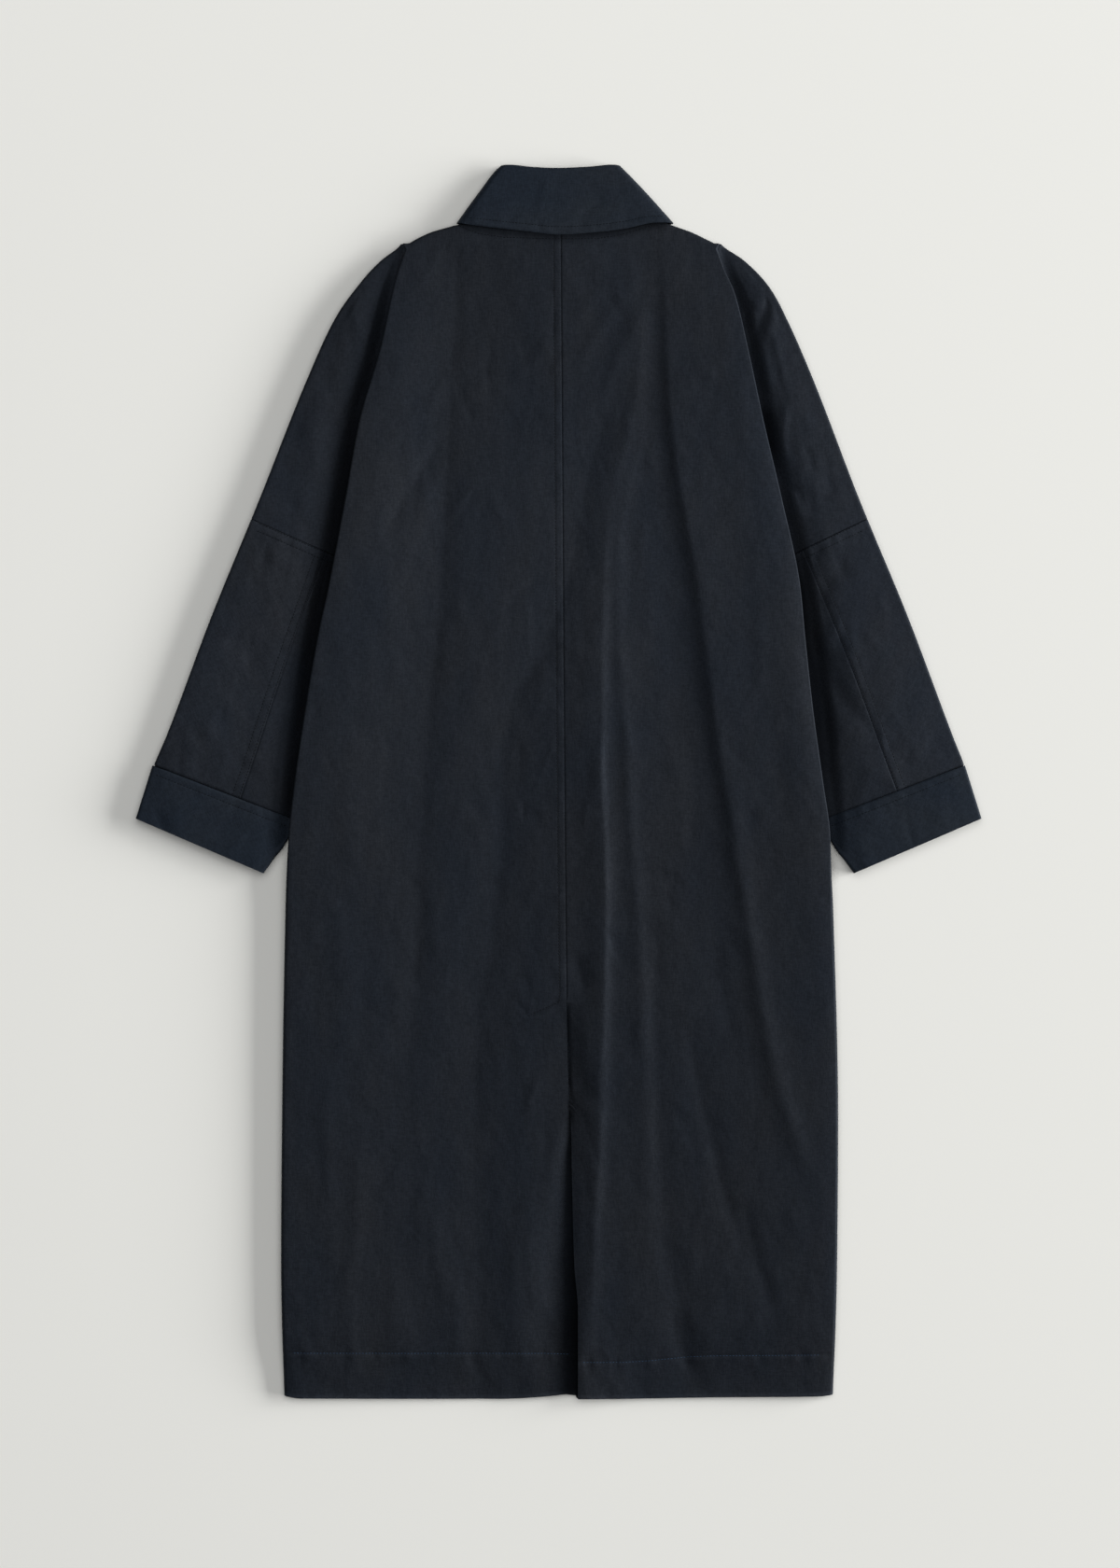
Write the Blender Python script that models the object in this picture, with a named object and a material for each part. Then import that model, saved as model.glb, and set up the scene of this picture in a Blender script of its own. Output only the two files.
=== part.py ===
"""An oilskin coat, long and wide, laid out flat on its front with its back up.

X runs across the coat, Y from the hem to the collar and Z up from the surface that the coat lies on.
The origin is under the middle of the coat.  Sizes are millimetres until a mesh is made.  "Out" is a
distance from the middle line towards one side, so that one function serves the left and the right.

Each half of the back is cut in one with the top of the arm.  Its side is folded: the back rolls over a
lip, runs back under itself and turns out again as the arm.  Below the arm it rolls over the lip and
under to the side seam.
"""

import math
from collections import namedtuple

import bmesh
import bpy
import numpy as np

MM = 0.001

# Driving sizes
CLOTH = 1.2
CUFF_CLOTH = 2.0
CUFF_STEP = 0.5
SEAM_GAP = 0.3
FLOOR_LAYER = CLOTH / 2
HEM_Y = -627.0
COLLAR_FOLD_Y = 626.0
SHOULDER_Y = 542.5
ARM_HEAD_Y = 533.4
ARM_SEAM_Y = 201.0
ARM_RISE = 51.0
ARM_RISE_START = 6.0
ARM_BLEND = 4
NECK_SETTLE = 150.0
BACK_RISE_START = 0.45
BACK_RISE_SHARE = 0.5
FOLD_STOP = 12.0
FOLD_RAMP = 34.0
RETURN_CLEAR = 8.0
RETURN_RAMP = 20.0
OUTLINE_LEAD = 4.0
OUTLINE_STEP = 1.0
HIDDEN_GAP = 0.6
WELD = 0.01

# Vent in the back, and the lap of the two fronts
VENT_TOP_Y = -222.0
VENT_DIP_WIDTH = 30.0
FRONT_LAP = 30.0
FRONT_LAP_CLEAR = 3.0
FRONT_LAP_RAMP = 16.0
FRONT_SIDE_RAMP = 60.0
FRONT_TOP_GAP = 2.2

# Collar
COLLAR_PLY_STEP = 2.0
COLLAR_SIDE_STEP = 5.5
COLLAR_HIGH_EDGE = 16.4
COLLAR_HIGH_FOLD = 11.5
COLLAR_FRONT_GAP = 6.0

# Mesh density: quads along each stretch
TOP_QUADS = 15
ROLL_QUADS = 4
RETURN_QUADS = 2
TURN_QUADS = 3
ARM_QUADS = 6
SKIRT_QUADS = 5
LONGEST_ROW = 58.0
SLEEVE_ROWS = 8
SLEEVE_QUADS = 5
FRONT_QUADS = 5
FRONT_ARM_QUADS = 4
CUFF_ROWS = 3
CUFF_QUADS = 9
CUFF_ROLL_QUADS = 6
INSET_ROUNDS = 6

# The lip down each side of the back.  left and right are its distances out, high and low the layers that
# its roll joins, arm the layer below them, turn the degrees that the roll turns through, straight the
# return's length and end the height of the return's far end.
LipRow = namedtuple("LipRow", "y left right high low arm turn straight end")
LIP = (
    LipRow(SHOULDER_Y, 155.0, 160.0, 13.0, 12.2, 11.6, 25.0, 1.5, 11.6),
    LipRow(520.0, 163.0, 169.0, 14.5, 11.5, 9.0, 110.0, 1.5, 9.0),
    LipRow(497.0, 169.0, 179.0, 16.0, 11.0, 6.4, 180.0, 6.0, 11.0),
    LipRow(441.0, 181.0, 194.0, 18.0, 11.4, 4.4, 180.0, 27.0, 11.4),
    LipRow(368.0, 202.0, 210.0, 19.2, 11.8, 4.3, 180.0, 46.0, 11.8),
    LipRow(291.0, 216.0, 228.0, 19.8, 12.0, 4.3, 180.0, 61.0, 12.0),
    LipRow(ARM_SEAM_Y, 233.0, 247.0, 20.0, 11.8, 4.3, 180.0, 71.0, 11.8),
    LipRow(150.0, 244.0, 252.0, 20.0, 11.0, 4.3, 180.0, 78.0, 6.0),
    LipRow(75.0, 257.0, 260.0, 19.4, 10.4, 4.3, 180.0, 72.0, 0.6),
    LipRow(0.0, 268.0, 270.0, 18.4, 9.6, 4.3, 180.0, 66.0, 0.6),
    LipRow(-50.0, 273.5, 275.5, 17.0, 8.6, 4.3, 180.0, 61.0, 0.6),
    LipRow(-90.0, 276.0, 277.0, 15.0, 5.4, 4.3, 180.0, 57.0, 0.6),
    LipRow(-130.0, 277.5, 279.0, 13.4, 0.6, 0.3, 180.0, 54.0, 0.6),
    LipRow(-342.0, 281.0, 284.0, 12.4, 0.6, 0.3, 180.0, 46.0, 0.6),
    LipRow(-485.0, 282.0, 283.0, 12.0, 0.6, 0.3, 180.0, 42.0, 0.6),
    LipRow(HEM_Y, 279.0, 279.0, 11.6, 0.6, 0.3, 180.0, 38.0, 0.6),
)

# The outline of shoulder and arm, and the height of the arm along it
ArmRow = namedtuple("ArmRow", "y left right height")
ARM = (
    ArmRow(566.0, 109.0, 119.0, 13.0),
    ArmRow(554.0, 142.0, 147.0, 13.0),
    ArmRow(548.6, 152.5, 161.0, 13.0),
    ArmRow(ARM_HEAD_Y, 178.0, 186.0, 13.0),
    ArmRow(503.0, 206.0, 215.0, 13.4),
    ArmRow(472.6, 227.0, 231.5, 13.8),
    ArmRow(412.0, 255.0, 258.0, 14.2),
    ArmRow(290.0, 303.5, 305.0, 14.4),
    ArmRow(169.0, 353.0, 355.0, 14.2),
    ArmRow(47.0, 399.0, 401.0, 13.4),
    ArmRow(19.0, 411.0, 412.0, 13.0),
    ArmRow(-36.0, 429.4, 429.4, 12.0),
    ArmRow(-91.0, 440.0, 440.0, 11.0),
)

# The lower sleeve from the arm seam, station 0, to the cuff, station 1.  elbow is the share of the way in
# from the outer edge at which the elbow seam runs.
SleeveRow = namedtuple("SleeveRow", "station outer_y inner_left inner_right inner_y elbow_left elbow_right")
SLEEVE = (
    SleeveRow(0.0, 269.0, 157.0, 171.0, ARM_SEAM_Y, 0.47, 0.44),
    SleeveRow(0.5, 144.0, 212.0, 219.0, 81.0, 0.53, 0.44),
    SleeveRow(1.0, 19.0, 264.0, 265.0, -38.0, 0.59, 0.45),
)

# The cuff from its seam, station 0, to its mouth, station 1
CuffRow = namedtuple("CuffRow", "station outer_out outer_y inner_out inner_y")
CUFF = (
    CuffRow(0.0, 412.5, 18.2, 263.0, -39.4),
    CuffRow(1.0, 429.4, -35.6, 300.2, -91.0),
)

# The top edge of the back, from the centre along the neck and down the shoulder to the head of the lip
NeckRow = namedtuple("NeckRow", "left right y")
NECK = (
    NeckRow(0.0, 0.0, 563.5),
    NeckRow(31.0, 49.0, 565.0),
    NeckRow(62.0, 80.0, 567.0),
    NeckRow(76.0, 93.0, 567.2),
    NeckRow(90.0, 104.0, 560.8),
    NeckRow(107.0, 117.0, 559.0),
    NeckRow(126.0, 131.5, 553.8),
    NeckRow(139.0, 143.8, 548.2),
    NeckRow(149.0, 155.0, SHOULDER_Y),
)
SKIRT_START = {"left": 88.0, "right": 100.0}

# The height of the back over its middle
MiddleRow = namedtuple("MiddleRow", "y height")
MIDDLE = (
    MiddleRow(570.0, 13.6),
    MiddleRow(500.0, 12.6),
    MiddleRow(400.0, 11.4),
    MiddleRow(0.0, 10.6),
    MiddleRow(HEM_Y, 9.6),
)
SeamRow = namedtuple("SeamRow", "y x")
CENTRE_SEAM = (
    SeamRow(570.0, 2.0),
    SeamRow(0.0, 6.0),
    SeamRow(VENT_TOP_Y, 8.2),
    SeamRow(-380.0, 13.0),
    SeamRow(-490.0, 16.0),
    SeamRow(-535.0, 19.6),
    SeamRow(HEM_Y, 19.6),
)

# The vent below the centre seam.  left and right are the distances out from the seam line to the two edges,
# below zero where one laps under the other, and the dips are how far each edge sinks.
VentRow = namedtuple("VentRow", "y left right left_dip right_dip")
VENT = (
    VentRow(VENT_TOP_Y, 0.15, 0.15, 0.0, 0.0),
    VentRow(-246.0, 0.2, 0.2, 0.0, 2.6),
    VentRow(-300.0, 0.6, -16.0, 0.0, 3.8),
    VentRow(-430.0, 1.4, -18.0, 0.0, 3.6),
    VentRow(-512.0, 2.6, 0.6, 0.0, 3.0),
    VentRow(-560.0, 3.6, 0.6, 2.2, 0.2),
    VentRow(HEM_Y, 2.6, 0.6, 2.4, 0.0),
)

# The largest folds of the back.  Each runs down from top to low along a bowed line and has its own flanks.
FoldRow = namedtuple("FoldRow", "top low x_top x_middle x_low left_flank right_flank height")
FOLDS = (
    FoldRow(535.0, -470.0, 106.0, 161.0, 262.0, 15.0, 40.0, 5.0),
    FoldRow(505.0, -500.0, 82.0, 40.0, 34.0, 30.0, 13.0, 4.2),
    FoldRow(330.0, -540.0, 79.0, 80.0, 104.0, 13.0, 16.0, 2.6),
    FoldRow(150.0, -560.0, -2.0, -42.0, -74.0, 24.0, 38.0, 3.0),
    FoldRow(500.0, 150.0, -88.0, -106.0, -166.0, 18.0, 34.0, 2.6),
    FoldRow(340.0, -420.0, -99.0, -121.0, -146.0, 18.0, 40.0, 3.4),
    FoldRow(-150.0, -560.0, 118.0, 126.0, 162.0, 14.0, 28.0, 2.8),
    FoldRow(-230.0, -600.0, 156.0, 184.0, 232.0, 14.0, 24.0, 2.4),
    FoldRow(-480.0, -640.0, -74.0, -70.0, -70.0, 14.0, 24.0, 2.2),
    FoldRow(-510.0, -660.0, 132.0, 148.0, 166.0, 16.0, 26.0, 2.6),
)
FOLD_FADE = 0.22

# Collar outline from its fold, station 1, to its edge, station 0
CollarRow = namedtuple("CollarRow", "station left right")
COLLAR = (
    CollarRow(0.0, 104.0, 117.0),
    CollarRow(0.6, 79.0, 86.0),
    CollarRow(0.95, 63.5, 66.5),
    CollarRow(1.0, 60.0, 63.5),
)
# The edge of the collar's fall: across is -1 at the left side and 1 at the right side
CollarEdgeRow = namedtuple("CollarEdgeRow", "across back front stand")
COLLAR_EDGE = (
    CollarEdgeRow(-1.0, 568.8, 568.8, 571.0),
    CollarEdgeRow(-0.85, 567.0, 568.6, 571.0),
    CollarEdgeRow(-0.6, 564.4, 551.0, 571.0),
    CollarEdgeRow(-0.3, 561.4, 538.5, 568.0),
    CollarEdgeRow(0.0, 558.4, 531.0, 566.0),
    CollarEdgeRow(0.4, 561.2, 541.5, 568.0),
    CollarEdgeRow(0.6, 564.4, 551.0, 571.0),
    CollarEdgeRow(0.85, 569.4, 568.6, 571.0),
    CollarEdgeRow(1.0, 568.8, 568.8, 571.0),
)
COLLAR_FALL_ROWS = 4
COLLAR_STAND_ROWS = 3
COLLAR_BACK_QUADS = 12
COLLAR_FRONT_QUADS = 4
COLLAR_SIDE_QUADS = 5
COLLAR_FOLD_TURNS = (45.0, 90.0, 135.0)

OILSKIN_NAVY = (0.0168, 0.0205, 0.0265, 1.0)
OILSKIN_ROUGHNESS = 0.62


def ease(share):
    """A soft step from 0 to 1."""
    share = np.clip(share, 0.0, 1.0)
    return share * share * (3.0 - 2.0 * share)


def curve(rows, along, name):
    """A smooth function through one column of a table, level beyond its ends and with no overshoot."""
    order = sorted(rows, key=lambda row: getattr(row, along))
    at = np.array([getattr(row, along) for row in order], float)
    value = np.array([getattr(row, name) for row in order], float)
    step = np.diff(at)
    slope = np.diff(value) / step
    tangent = np.concatenate([slope[:1], np.zeros(len(slope) - 1), slope[-1:]])
    for i in range(1, len(slope)):
        if slope[i - 1] * slope[i] > 0:
            tangent[i] = 2.0 * slope[i - 1] * slope[i] / (slope[i - 1] + slope[i])

    def read(where):
        where = np.clip(where, at[0], at[-1])
        i = np.clip(np.searchsorted(at, where, side="right") - 1, 0, len(step) - 1)
        t = (where - at[i]) / step[i]
        return (
            (2 * t**3 - 3 * t**2 + 1) * value[i]
            + (t**3 - 2 * t**2 + t) * step[i] * tangent[i]
            + (3 * t**2 - 2 * t**3) * value[i + 1]
            + (t**3 - t**2) * step[i] * tangent[i + 1]
        )

    return read


lip_high = curve(LIP, "y", "high")
lip_low = curve(LIP, "y", "low")
lip_arm = curve(LIP, "y", "arm")
lip_turn = curve(LIP, "y", "turn")
lip_straight = curve(LIP, "y", "straight")
lip_end = curve(LIP, "y", "end")
arm_top = curve(ARM, "y", "height")
middle_height = curve(MIDDLE, "y", "height")
seam_x = curve(CENTRE_SEAM, "y", "x")


class Side:
    """One side of the coat: sign is -1 on the left and 1 on the right."""

    def __init__(self, name, sign):
        self.name = name
        self.sign = sign
        self.lip = curve(LIP, "y", name)
        self.outline = curve(ARM, "y", name)
        self.neck = curve(NECK, name, "y")
        self.sleeve_inner = curve(SLEEVE, "inner_y", "inner_" + name)
        self.elbow = curve(SLEEVE, "station", "elbow_" + name)
        self.vent = curve(VENT, "y", name)
        self.vent_dip = curve(VENT, "y", name + "_dip")

    def points(self, out, y, z):
        """Places in the coat's frame from distances out, along and up."""
        out, y, z = np.broadcast_arrays(np.asarray(out, float), y, z)
        return np.stack([self.sign * out, y, z], axis=-1)


SIDES = (Side("left", -1.0), Side("right", 1.0))

# The lip's section at one level
Lip = namedtuple("Lip", "start high roll turn_back angle straight")


def lip_section(side, y):
    high = lip_high(y)
    low = lip_low(y)
    arm = lip_arm(y)
    angle = math.radians(lip_turn(y))
    straight = lip_straight(y)
    radii = (high - arm - straight * math.sin(angle)) / (1.0 - math.cos(angle))
    roll = radii * (high - low) / (high - arm)
    start = side.lip(y) - CLOTH / 2 - roll * math.sin(min(angle, math.pi / 2))
    return Lip(start, high, roll, radii - roll, angle, straight)


def fold_height(x, y):
    """The sum of the folds at a place on the back."""
    total = np.zeros(np.broadcast(x, y).shape)
    for fold in FOLDS:
        t = (fold.top - y) / (fold.top - fold.low)
        line = (
            fold.x_top * (1 - t) * (1 - 2 * t)
            + fold.x_middle * 4 * t * (1 - t)
            + fold.x_low * t * (2 * t - 1)
        )
        off = x - line
        flank = np.where(off < 0, fold.left_flank, fold.right_flank)
        strength = ease(t / FOLD_FADE) * ease((1 - t) / FOLD_FADE)
        total = total + fold.height * strength * np.exp(-((off / flank) ** 2))
    return total


def back_height(side, out, y):
    """The back's height over the surface: low in the middle, up to the lip at the side, with its folds."""
    share = ease((out / side.lip(y) - BACK_RISE_START) / BACK_RISE_SHARE)
    base = middle_height(y) + (lip_high(y) - middle_height(y)) * share
    clear = ease((side.lip(y) - out - FOLD_STOP) / FOLD_RAMP)
    return base + clear * fold_height(side.sign * out, y)


def arm_height(side, out, y):
    """The arm's height: low where it runs in under the lip, rising outside it."""
    rise = ease((out - side.lip(y) + ARM_RISE_START) / ARM_RISE)
    return lip_arm_layer(y) + (arm_top(y) - lip_arm_layer(y)) * rise


def lip_arm_layer(y):
    """The arm's own low layer, which goes on down the sleeve from the arm seam."""
    return lip_arm(np.maximum(y, ARM_SEAM_Y))


def levels():
    """The rows of the back from the shoulder to the hem: the tables' own rows with others between them."""
    stops = sorted({row.y for row in LIP + VENT}, reverse=True)
    found = []
    for upper, lower in zip(stops[:-1], stops[1:]):
        count = max(1, math.ceil((upper - lower) / LONGEST_ROW))
        found += list(np.linspace(upper, lower, count, endpoint=False))
    return found + [HEM_Y]


def lifted(y, top):
    """Rows bend up to the top edge at the top of the coat and are level lower down."""
    settle = 1.0 - ease((SHOULDER_Y - y) / NECK_SETTLE)
    return y + (top - SHOULDER_Y) * settle


def back_row(side, y):
    """One level of a half back: over the top, round the lip and back under, then round the inner turn."""
    lip = lip_section(side, y)
    seam = side.sign * seam_x(y)
    edge = seam + side.vent(y)
    out = edge + (lip.start - edge) * np.linspace(0.0, 1.0, TOP_QUADS + 1)
    row_y = lifted(y, side.neck(out))
    row_y[-1] = y
    height = back_height(side, out, row_y)
    height = height - side.vent_dip(y) * ease(1.0 - (out - seam) / VENT_DIP_WIDTH)
    rows = [side.points(out, row_y, height)]

    heading = np.linspace(0.0, lip.angle, ROLL_QUADS + 1)[1:]
    roll_out = lip.start + lip.roll * np.sin(heading)
    roll_z = lip.high - lip.roll * (1.0 - np.cos(heading))
    rows.append(side.points(roll_out, y, roll_z))

    share = np.linspace(0.0, 1.0, RETURN_QUADS + 1)[1:]
    back_out = roll_out[-1] + share * lip.straight * math.cos(lip.angle)
    back_z = roll_z[-1] - share * lip.straight * math.sin(lip.angle)
    if y < ARM_SEAM_Y:
        room = max(side.sleeve_inner(y) - RETURN_CLEAR - back_out[-1], RETURN_RAMP)
        down = 1.0 - ease((back_out - back_out[-1]) / room)
        back_z = back_z - down * (lip_low(y) - lip_end(y))
    rows.append(side.points(back_out, y, back_z))

    turn = np.linspace(lip.angle, 0.0, TURN_QUADS + 1)[1:]
    turn_out = back_out[-1] + lip.turn_back * (math.sin(lip.angle) - np.sin(turn))
    turn_z = back_z[-1] - lip.turn_back * (np.cos(turn) - math.cos(lip.angle))
    inner = side.points(turn_out, y, turn_z)
    return np.concatenate(rows), inner


def outline_inset(side, y):
    """The arm's edge at outline height y, drawn in by the radius of the roll that closes it."""
    out_way = way_out(side, y)
    place = np.array([side.outline(y), y])
    inset = CLOTH
    for _ in range(INSET_ROUNDS):
        point = place - out_way * inset
        inset = (arm_height(side, point[0], point[1]) - FLOOR_LAYER) / 2 + CLOTH / 2
    return place - out_way * inset


def arm_row(side, start, y):
    """One row of the arm, from the inner turn out to the edge of the arm."""
    last = SLEEVE[0].outer_y
    end_y = last + (y - ARM_SEAM_Y) * (ARM_HEAD_Y - last) / (SHOULDER_Y - ARM_SEAM_Y)
    end = outline_inset(side, end_y)
    share = np.linspace(0.0, 1.0, ARM_QUADS + 1)
    out = start[0] * side.sign * (1 - share) + end[0] * share
    row_y = start[1] * (1 - share) + end[1] * share
    height = arm_height(side, out, row_y)
    height = height + (start[2] - height[0]) * (1 - share) ** ARM_BLEND
    return side.points(out, row_y, height)


def edge_roll(top, outward, quads, low=FLOOR_LAYER):
    """A roll that takes the edge of a layer out, down and under to the surface."""
    radius = (top[:, 2] - low) / 2
    angle = np.linspace(math.pi / 2, -math.pi / 2, quads + 1)
    rolled = np.repeat(top[:, None, :], quads + 1, axis=1)
    rolled[:, :, :2] += outward[:, None, :] * (radius[:, None] * np.cos(angle))[:, :, None]
    rolled[:, :, 2] = low + radius[:, None] * (1.0 + np.sin(angle))
    return rolled


def way_out(side, y):
    """The way out of the coat, in plan, square to its outline at height y."""
    rise = side.outline(y + OUTLINE_STEP) - side.outline(y - OUTLINE_STEP)
    slope = rise / (2 * OUTLINE_STEP)
    return np.stack([np.ones_like(slope), -slope], axis=-1) / np.hypot(1.0, slope)[..., None]


def back_patches(side):
    """The grids of a half back: top with its lip, arm, and the roll that closes shoulder and arm."""
    tops, inners, arms = [], [], []
    for y in levels():
        row, inner = back_row(side, y)
        tops.append(row)
        if y >= ARM_SEAM_Y:
            inners.append(np.concatenate([row[-1:], inner]))
            arms.append(arm_row(side, inner[-1], y))
    arms = np.array(arms)
    shoulder = tops[0][side.sign * tops[0][:, 0] >= SKIRT_START[side.name]]
    path = np.concatenate([shoulder, inners[0][1:-1], arms[0], arms[1:, -1]])
    ways = way_out(side, path[:, 1] + OUTLINE_LEAD) * [side.sign, 1.0]
    skirt = edge_roll(path, ways, SKIRT_QUADS)
    return [np.array(tops), np.array(inners), arms, skirt], path


def front_patches(side, arms, ends, path):
    """A front, flat on the surface under its half back.  The left front laps over the right one."""
    collar_edge = curve(COLLAR_EDGE, "across", "front")
    collar_width = getattr(COLLAR[0], side.name)

    def front_top(out):
        """The front's top edge: under the collar's front, then along the foot of the shoulder's roll."""
        shoulder = np.interp(out, side.sign * path[:, 0], path[:, 1])
        return np.minimum(collar_edge(side.sign * out / collar_width), shoulder) - FRONT_TOP_GAP

    first = -FRONT_LAP
    lap_end = FRONT_LAP + FRONT_LAP_CLEAR
    body, arm = [], []
    for y in levels():
        end = ends[y] if y >= ARM_SEAM_Y else ends[y] - SEAM_GAP
        out = np.concatenate([
            [first, 0.0, lap_end, lap_end + FRONT_LAP_RAMP],
            np.linspace(lap_end + FRONT_LAP_RAMP, end, FRONT_QUADS + 1)[1:],
        ])
        row_y = lifted(y, front_top(out))
        height = np.full(len(out), FLOOR_LAYER)
        if side.name == "left":
            step = CLOTH + SEAM_GAP
            height += step * ease(1.0 - (out - lap_end) / FRONT_LAP_RAMP)
        if y < ARM_SEAM_Y:
            side_rise = lip_end(y) - FLOOR_LAYER
            height += side_rise * ease(1.0 - (end - out) / FRONT_SIDE_RAMP)
        body.append(side.points(out, row_y, height))
        if y >= ARM_SEAM_Y:
            share = np.linspace(0.0, 1.0, FRONT_ARM_QUADS + 1)[:, None]
            start = body[-1][-1]
            last = arms[len(arm)][-1].copy()
            way = last[:2] - start[:2]
            last[:2] -= way / np.linalg.norm(way) * HIDDEN_GAP
            row = start * (1 - share) + last * share
            if not arm:
                row[:, 1] = front_top(side.sign * row[:, 0])
            row[:, 2] = FLOOR_LAYER
            arm.append(row)
    return [np.array(body), np.array(arm)]


def sleeve_line(side, station):
    """The two edges of the sleeve's back at a station, drawn in by the rolls that close them."""
    outer = outline_inset(side, curve(SLEEVE, "station", "outer_y")(station))
    edge = np.array([
        curve(SLEEVE, "station", "inner_" + side.name)(station),
        curve(SLEEVE, "station", "inner_y")(station),
    ])
    way = (edge - outer) / np.linalg.norm(edge - outer)
    inset = (arm_height(side, edge[0], edge[1]) - FLOOR_LAYER) / 2 + CLOTH / 2
    return outer, edge - way * inset, way


def sleeve_pieces(side):
    """Grids of the sleeve's outer back, under back and front."""
    length = SLEEVE[0].outer_y - SLEEVE[-1].outer_y
    outer_rows, under_rows, front_rows, ways, outer_ways = [], [], [], [], []
    for station in np.linspace(HIDDEN_GAP / length, 1.0 - SEAM_GAP / length, SLEEVE_ROWS + 1):
        outer, inner, way = sleeve_line(side, station)
        width = np.linalg.norm(inner - outer)
        split = side.elbow(station)
        gap = SEAM_GAP / 2 / width
        front_gap = HIDDEN_GAP / width

        def row(first, last, quads):
            share = np.linspace(first, last, quads + 1)
            out = outer[0] + (inner[0] - outer[0]) * share
            y = outer[1] + (inner[1] - outer[1]) * share
            return out, y

        out, y = row(0.0, split - gap, SLEEVE_QUADS + 1)
        outer_rows.append(side.points(out, y, arm_height(side, out, y)))
        out, y = row(split + gap, 1.0, SLEEVE_QUADS)
        under_rows.append(side.points(out, y, arm_height(side, out, y)))
        out, y = row(front_gap, 1.0 - front_gap, SLEEVE_QUADS)
        front_rows.append(side.points(out, y, FLOOR_LAYER))
        ways.append((side.sign * way[0], way[1]))
        outer_ways.append(way_out(side, outer[1] + OUTLINE_LEAD) * [side.sign, 1.0])
    outer_rows, under_rows = np.array(outer_rows), np.array(under_rows)
    ways = np.array(ways)
    outer_roll = edge_roll(outer_rows[:, 0], np.array(outer_ways), SKIRT_QUADS)
    under_roll = edge_roll(under_rows[:, -1], ways, SKIRT_QUADS)
    return [outer_rows, outer_roll], [under_rows, under_roll], [np.array(front_rows)]


def cuff_rings(side):
    """Closed rings of the cuff from its seam to its mouth."""
    low = CUFF_CLOTH / 2
    rings = []
    for station in np.linspace(0.0, 1.0, CUFF_ROWS + 1):
        place = CuffRow(*(curve(CUFF, "station", name)(station) for name in CuffRow._fields))
        outer = np.array([place.outer_out, place.outer_y])
        inner = np.array([place.inner_out, place.inner_y])
        way = (inner - outer) / np.linalg.norm(inner - outer)
        rise = (CUFF_CLOTH - CLOTH) / 2 + CUFF_STEP

        def top_at(point):
            return arm_height(side, point[0], point[1]) + rise

        outer = outer + way * ((top_at(outer) - low) / 2 + CUFF_CLOTH / 2)
        inner = inner - way * ((top_at(inner) - low) / 2 + CUFF_CLOTH / 2)
        share = np.linspace(1.0, 0.0, CUFF_QUADS + 1)
        out = outer[0] + (inner[0] - outer[0]) * share
        y = outer[1] + (inner[1] - outer[1]) * share
        top = side.points(out, y, arm_height(side, out, y) + rise)
        flat_way = np.array([[side.sign * way[0], way[1]]])
        outer_roll = edge_roll(top[-1:], -flat_way, CUFF_ROLL_QUADS, low)[0]
        inner_roll = edge_roll(top[:1], flat_way, CUFF_ROLL_QUADS, low)[0]
        share = np.linspace(0.0, 1.0, CUFF_QUADS + 1)[:, None]
        bottom = outer_roll[-1] + (inner_roll[-1] - outer_roll[-1]) * share
        rings.append(np.concatenate([top, outer_roll[1:], bottom[1:], inner_roll[::-1][1:]]))
    return [np.array(rings)]


def collar_ring(station, step, edge_of):
    """One ring of the collar, open at the centre front.  step is how far it lies inside the fall."""
    inset = CLOTH / 2 + step * COLLAR_SIDE_STEP / COLLAR_PLY_STEP
    left = curve(COLLAR, "station", "left")(station) - inset
    right = curve(COLLAR, "station", "right")(station) - inset
    high = COLLAR_HIGH_EDGE + (COLLAR_HIGH_FOLD - COLLAR_HIGH_EDGE) * station - step
    low = FLOOR_LAYER + step
    radius = (high - low) / 2
    angle = np.linspace(-math.pi / 2, math.pi / 2, COLLAR_SIDE_QUADS + 1)
    front_left = np.linspace(-COLLAR_FRONT_GAP / 2, -left + radius, COLLAR_FRONT_QUADS + 1)
    front_right = np.linspace(right - radius, COLLAR_FRONT_GAP / 2, COLLAR_FRONT_QUADS + 1)
    back = np.linspace(-left + radius, right - radius, COLLAR_BACK_QUADS + 1)
    x = np.concatenate([
        front_left,
        -left + radius - radius * np.cos(angle[1:-1]),
        back,
        right - radius + radius * np.cos(angle[1:-1]),
        front_right,
    ])
    z = np.concatenate([
        np.full(len(front_left), low),
        low + radius * (1.0 + np.sin(angle[1:-1])),
        np.full(len(back), high),
        low + radius * (1.0 - np.sin(angle[1:-1])),
        np.full(len(front_right), low),
    ])
    across = np.where(x < 0, x / left, x / right)
    lift = (z - low) / (high - low)
    edge = edge_of(across, lift)
    return np.stack([x, edge + (COLLAR_FOLD_Y - edge) * station, z], axis=-1)


def collar_patches():
    """The collar: up the stand, over the fold and down the fall."""
    back = curve(COLLAR_EDGE, "across", "back")
    front = curve(COLLAR_EDGE, "across", "front")
    stand = curve(COLLAR_EDGE, "across", "stand")

    def fall_edge(across, lift):
        return front(across) + (back(across) - front(across)) * ease(lift)

    def stand_edge(across, _):
        return stand(across)

    rings = [collar_ring(s, 0.0, fall_edge) for s in np.linspace(0.0, 1.0, COLLAR_FALL_ROWS + 1)]
    radius = COLLAR_PLY_STEP / 2
    for angle in np.radians(COLLAR_FOLD_TURNS):
        ring = collar_ring(1.0, radius * (1.0 - math.cos(angle)), fall_edge)
        ring[:, 1] += radius * math.sin(angle)
        rings.append(ring)
    for s in np.linspace(1.0, 0.0, COLLAR_STAND_ROWS + 1):
        rings.append(collar_ring(s, COLLAR_PLY_STEP, stand_edge))
    return [np.array(rings)]


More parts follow.
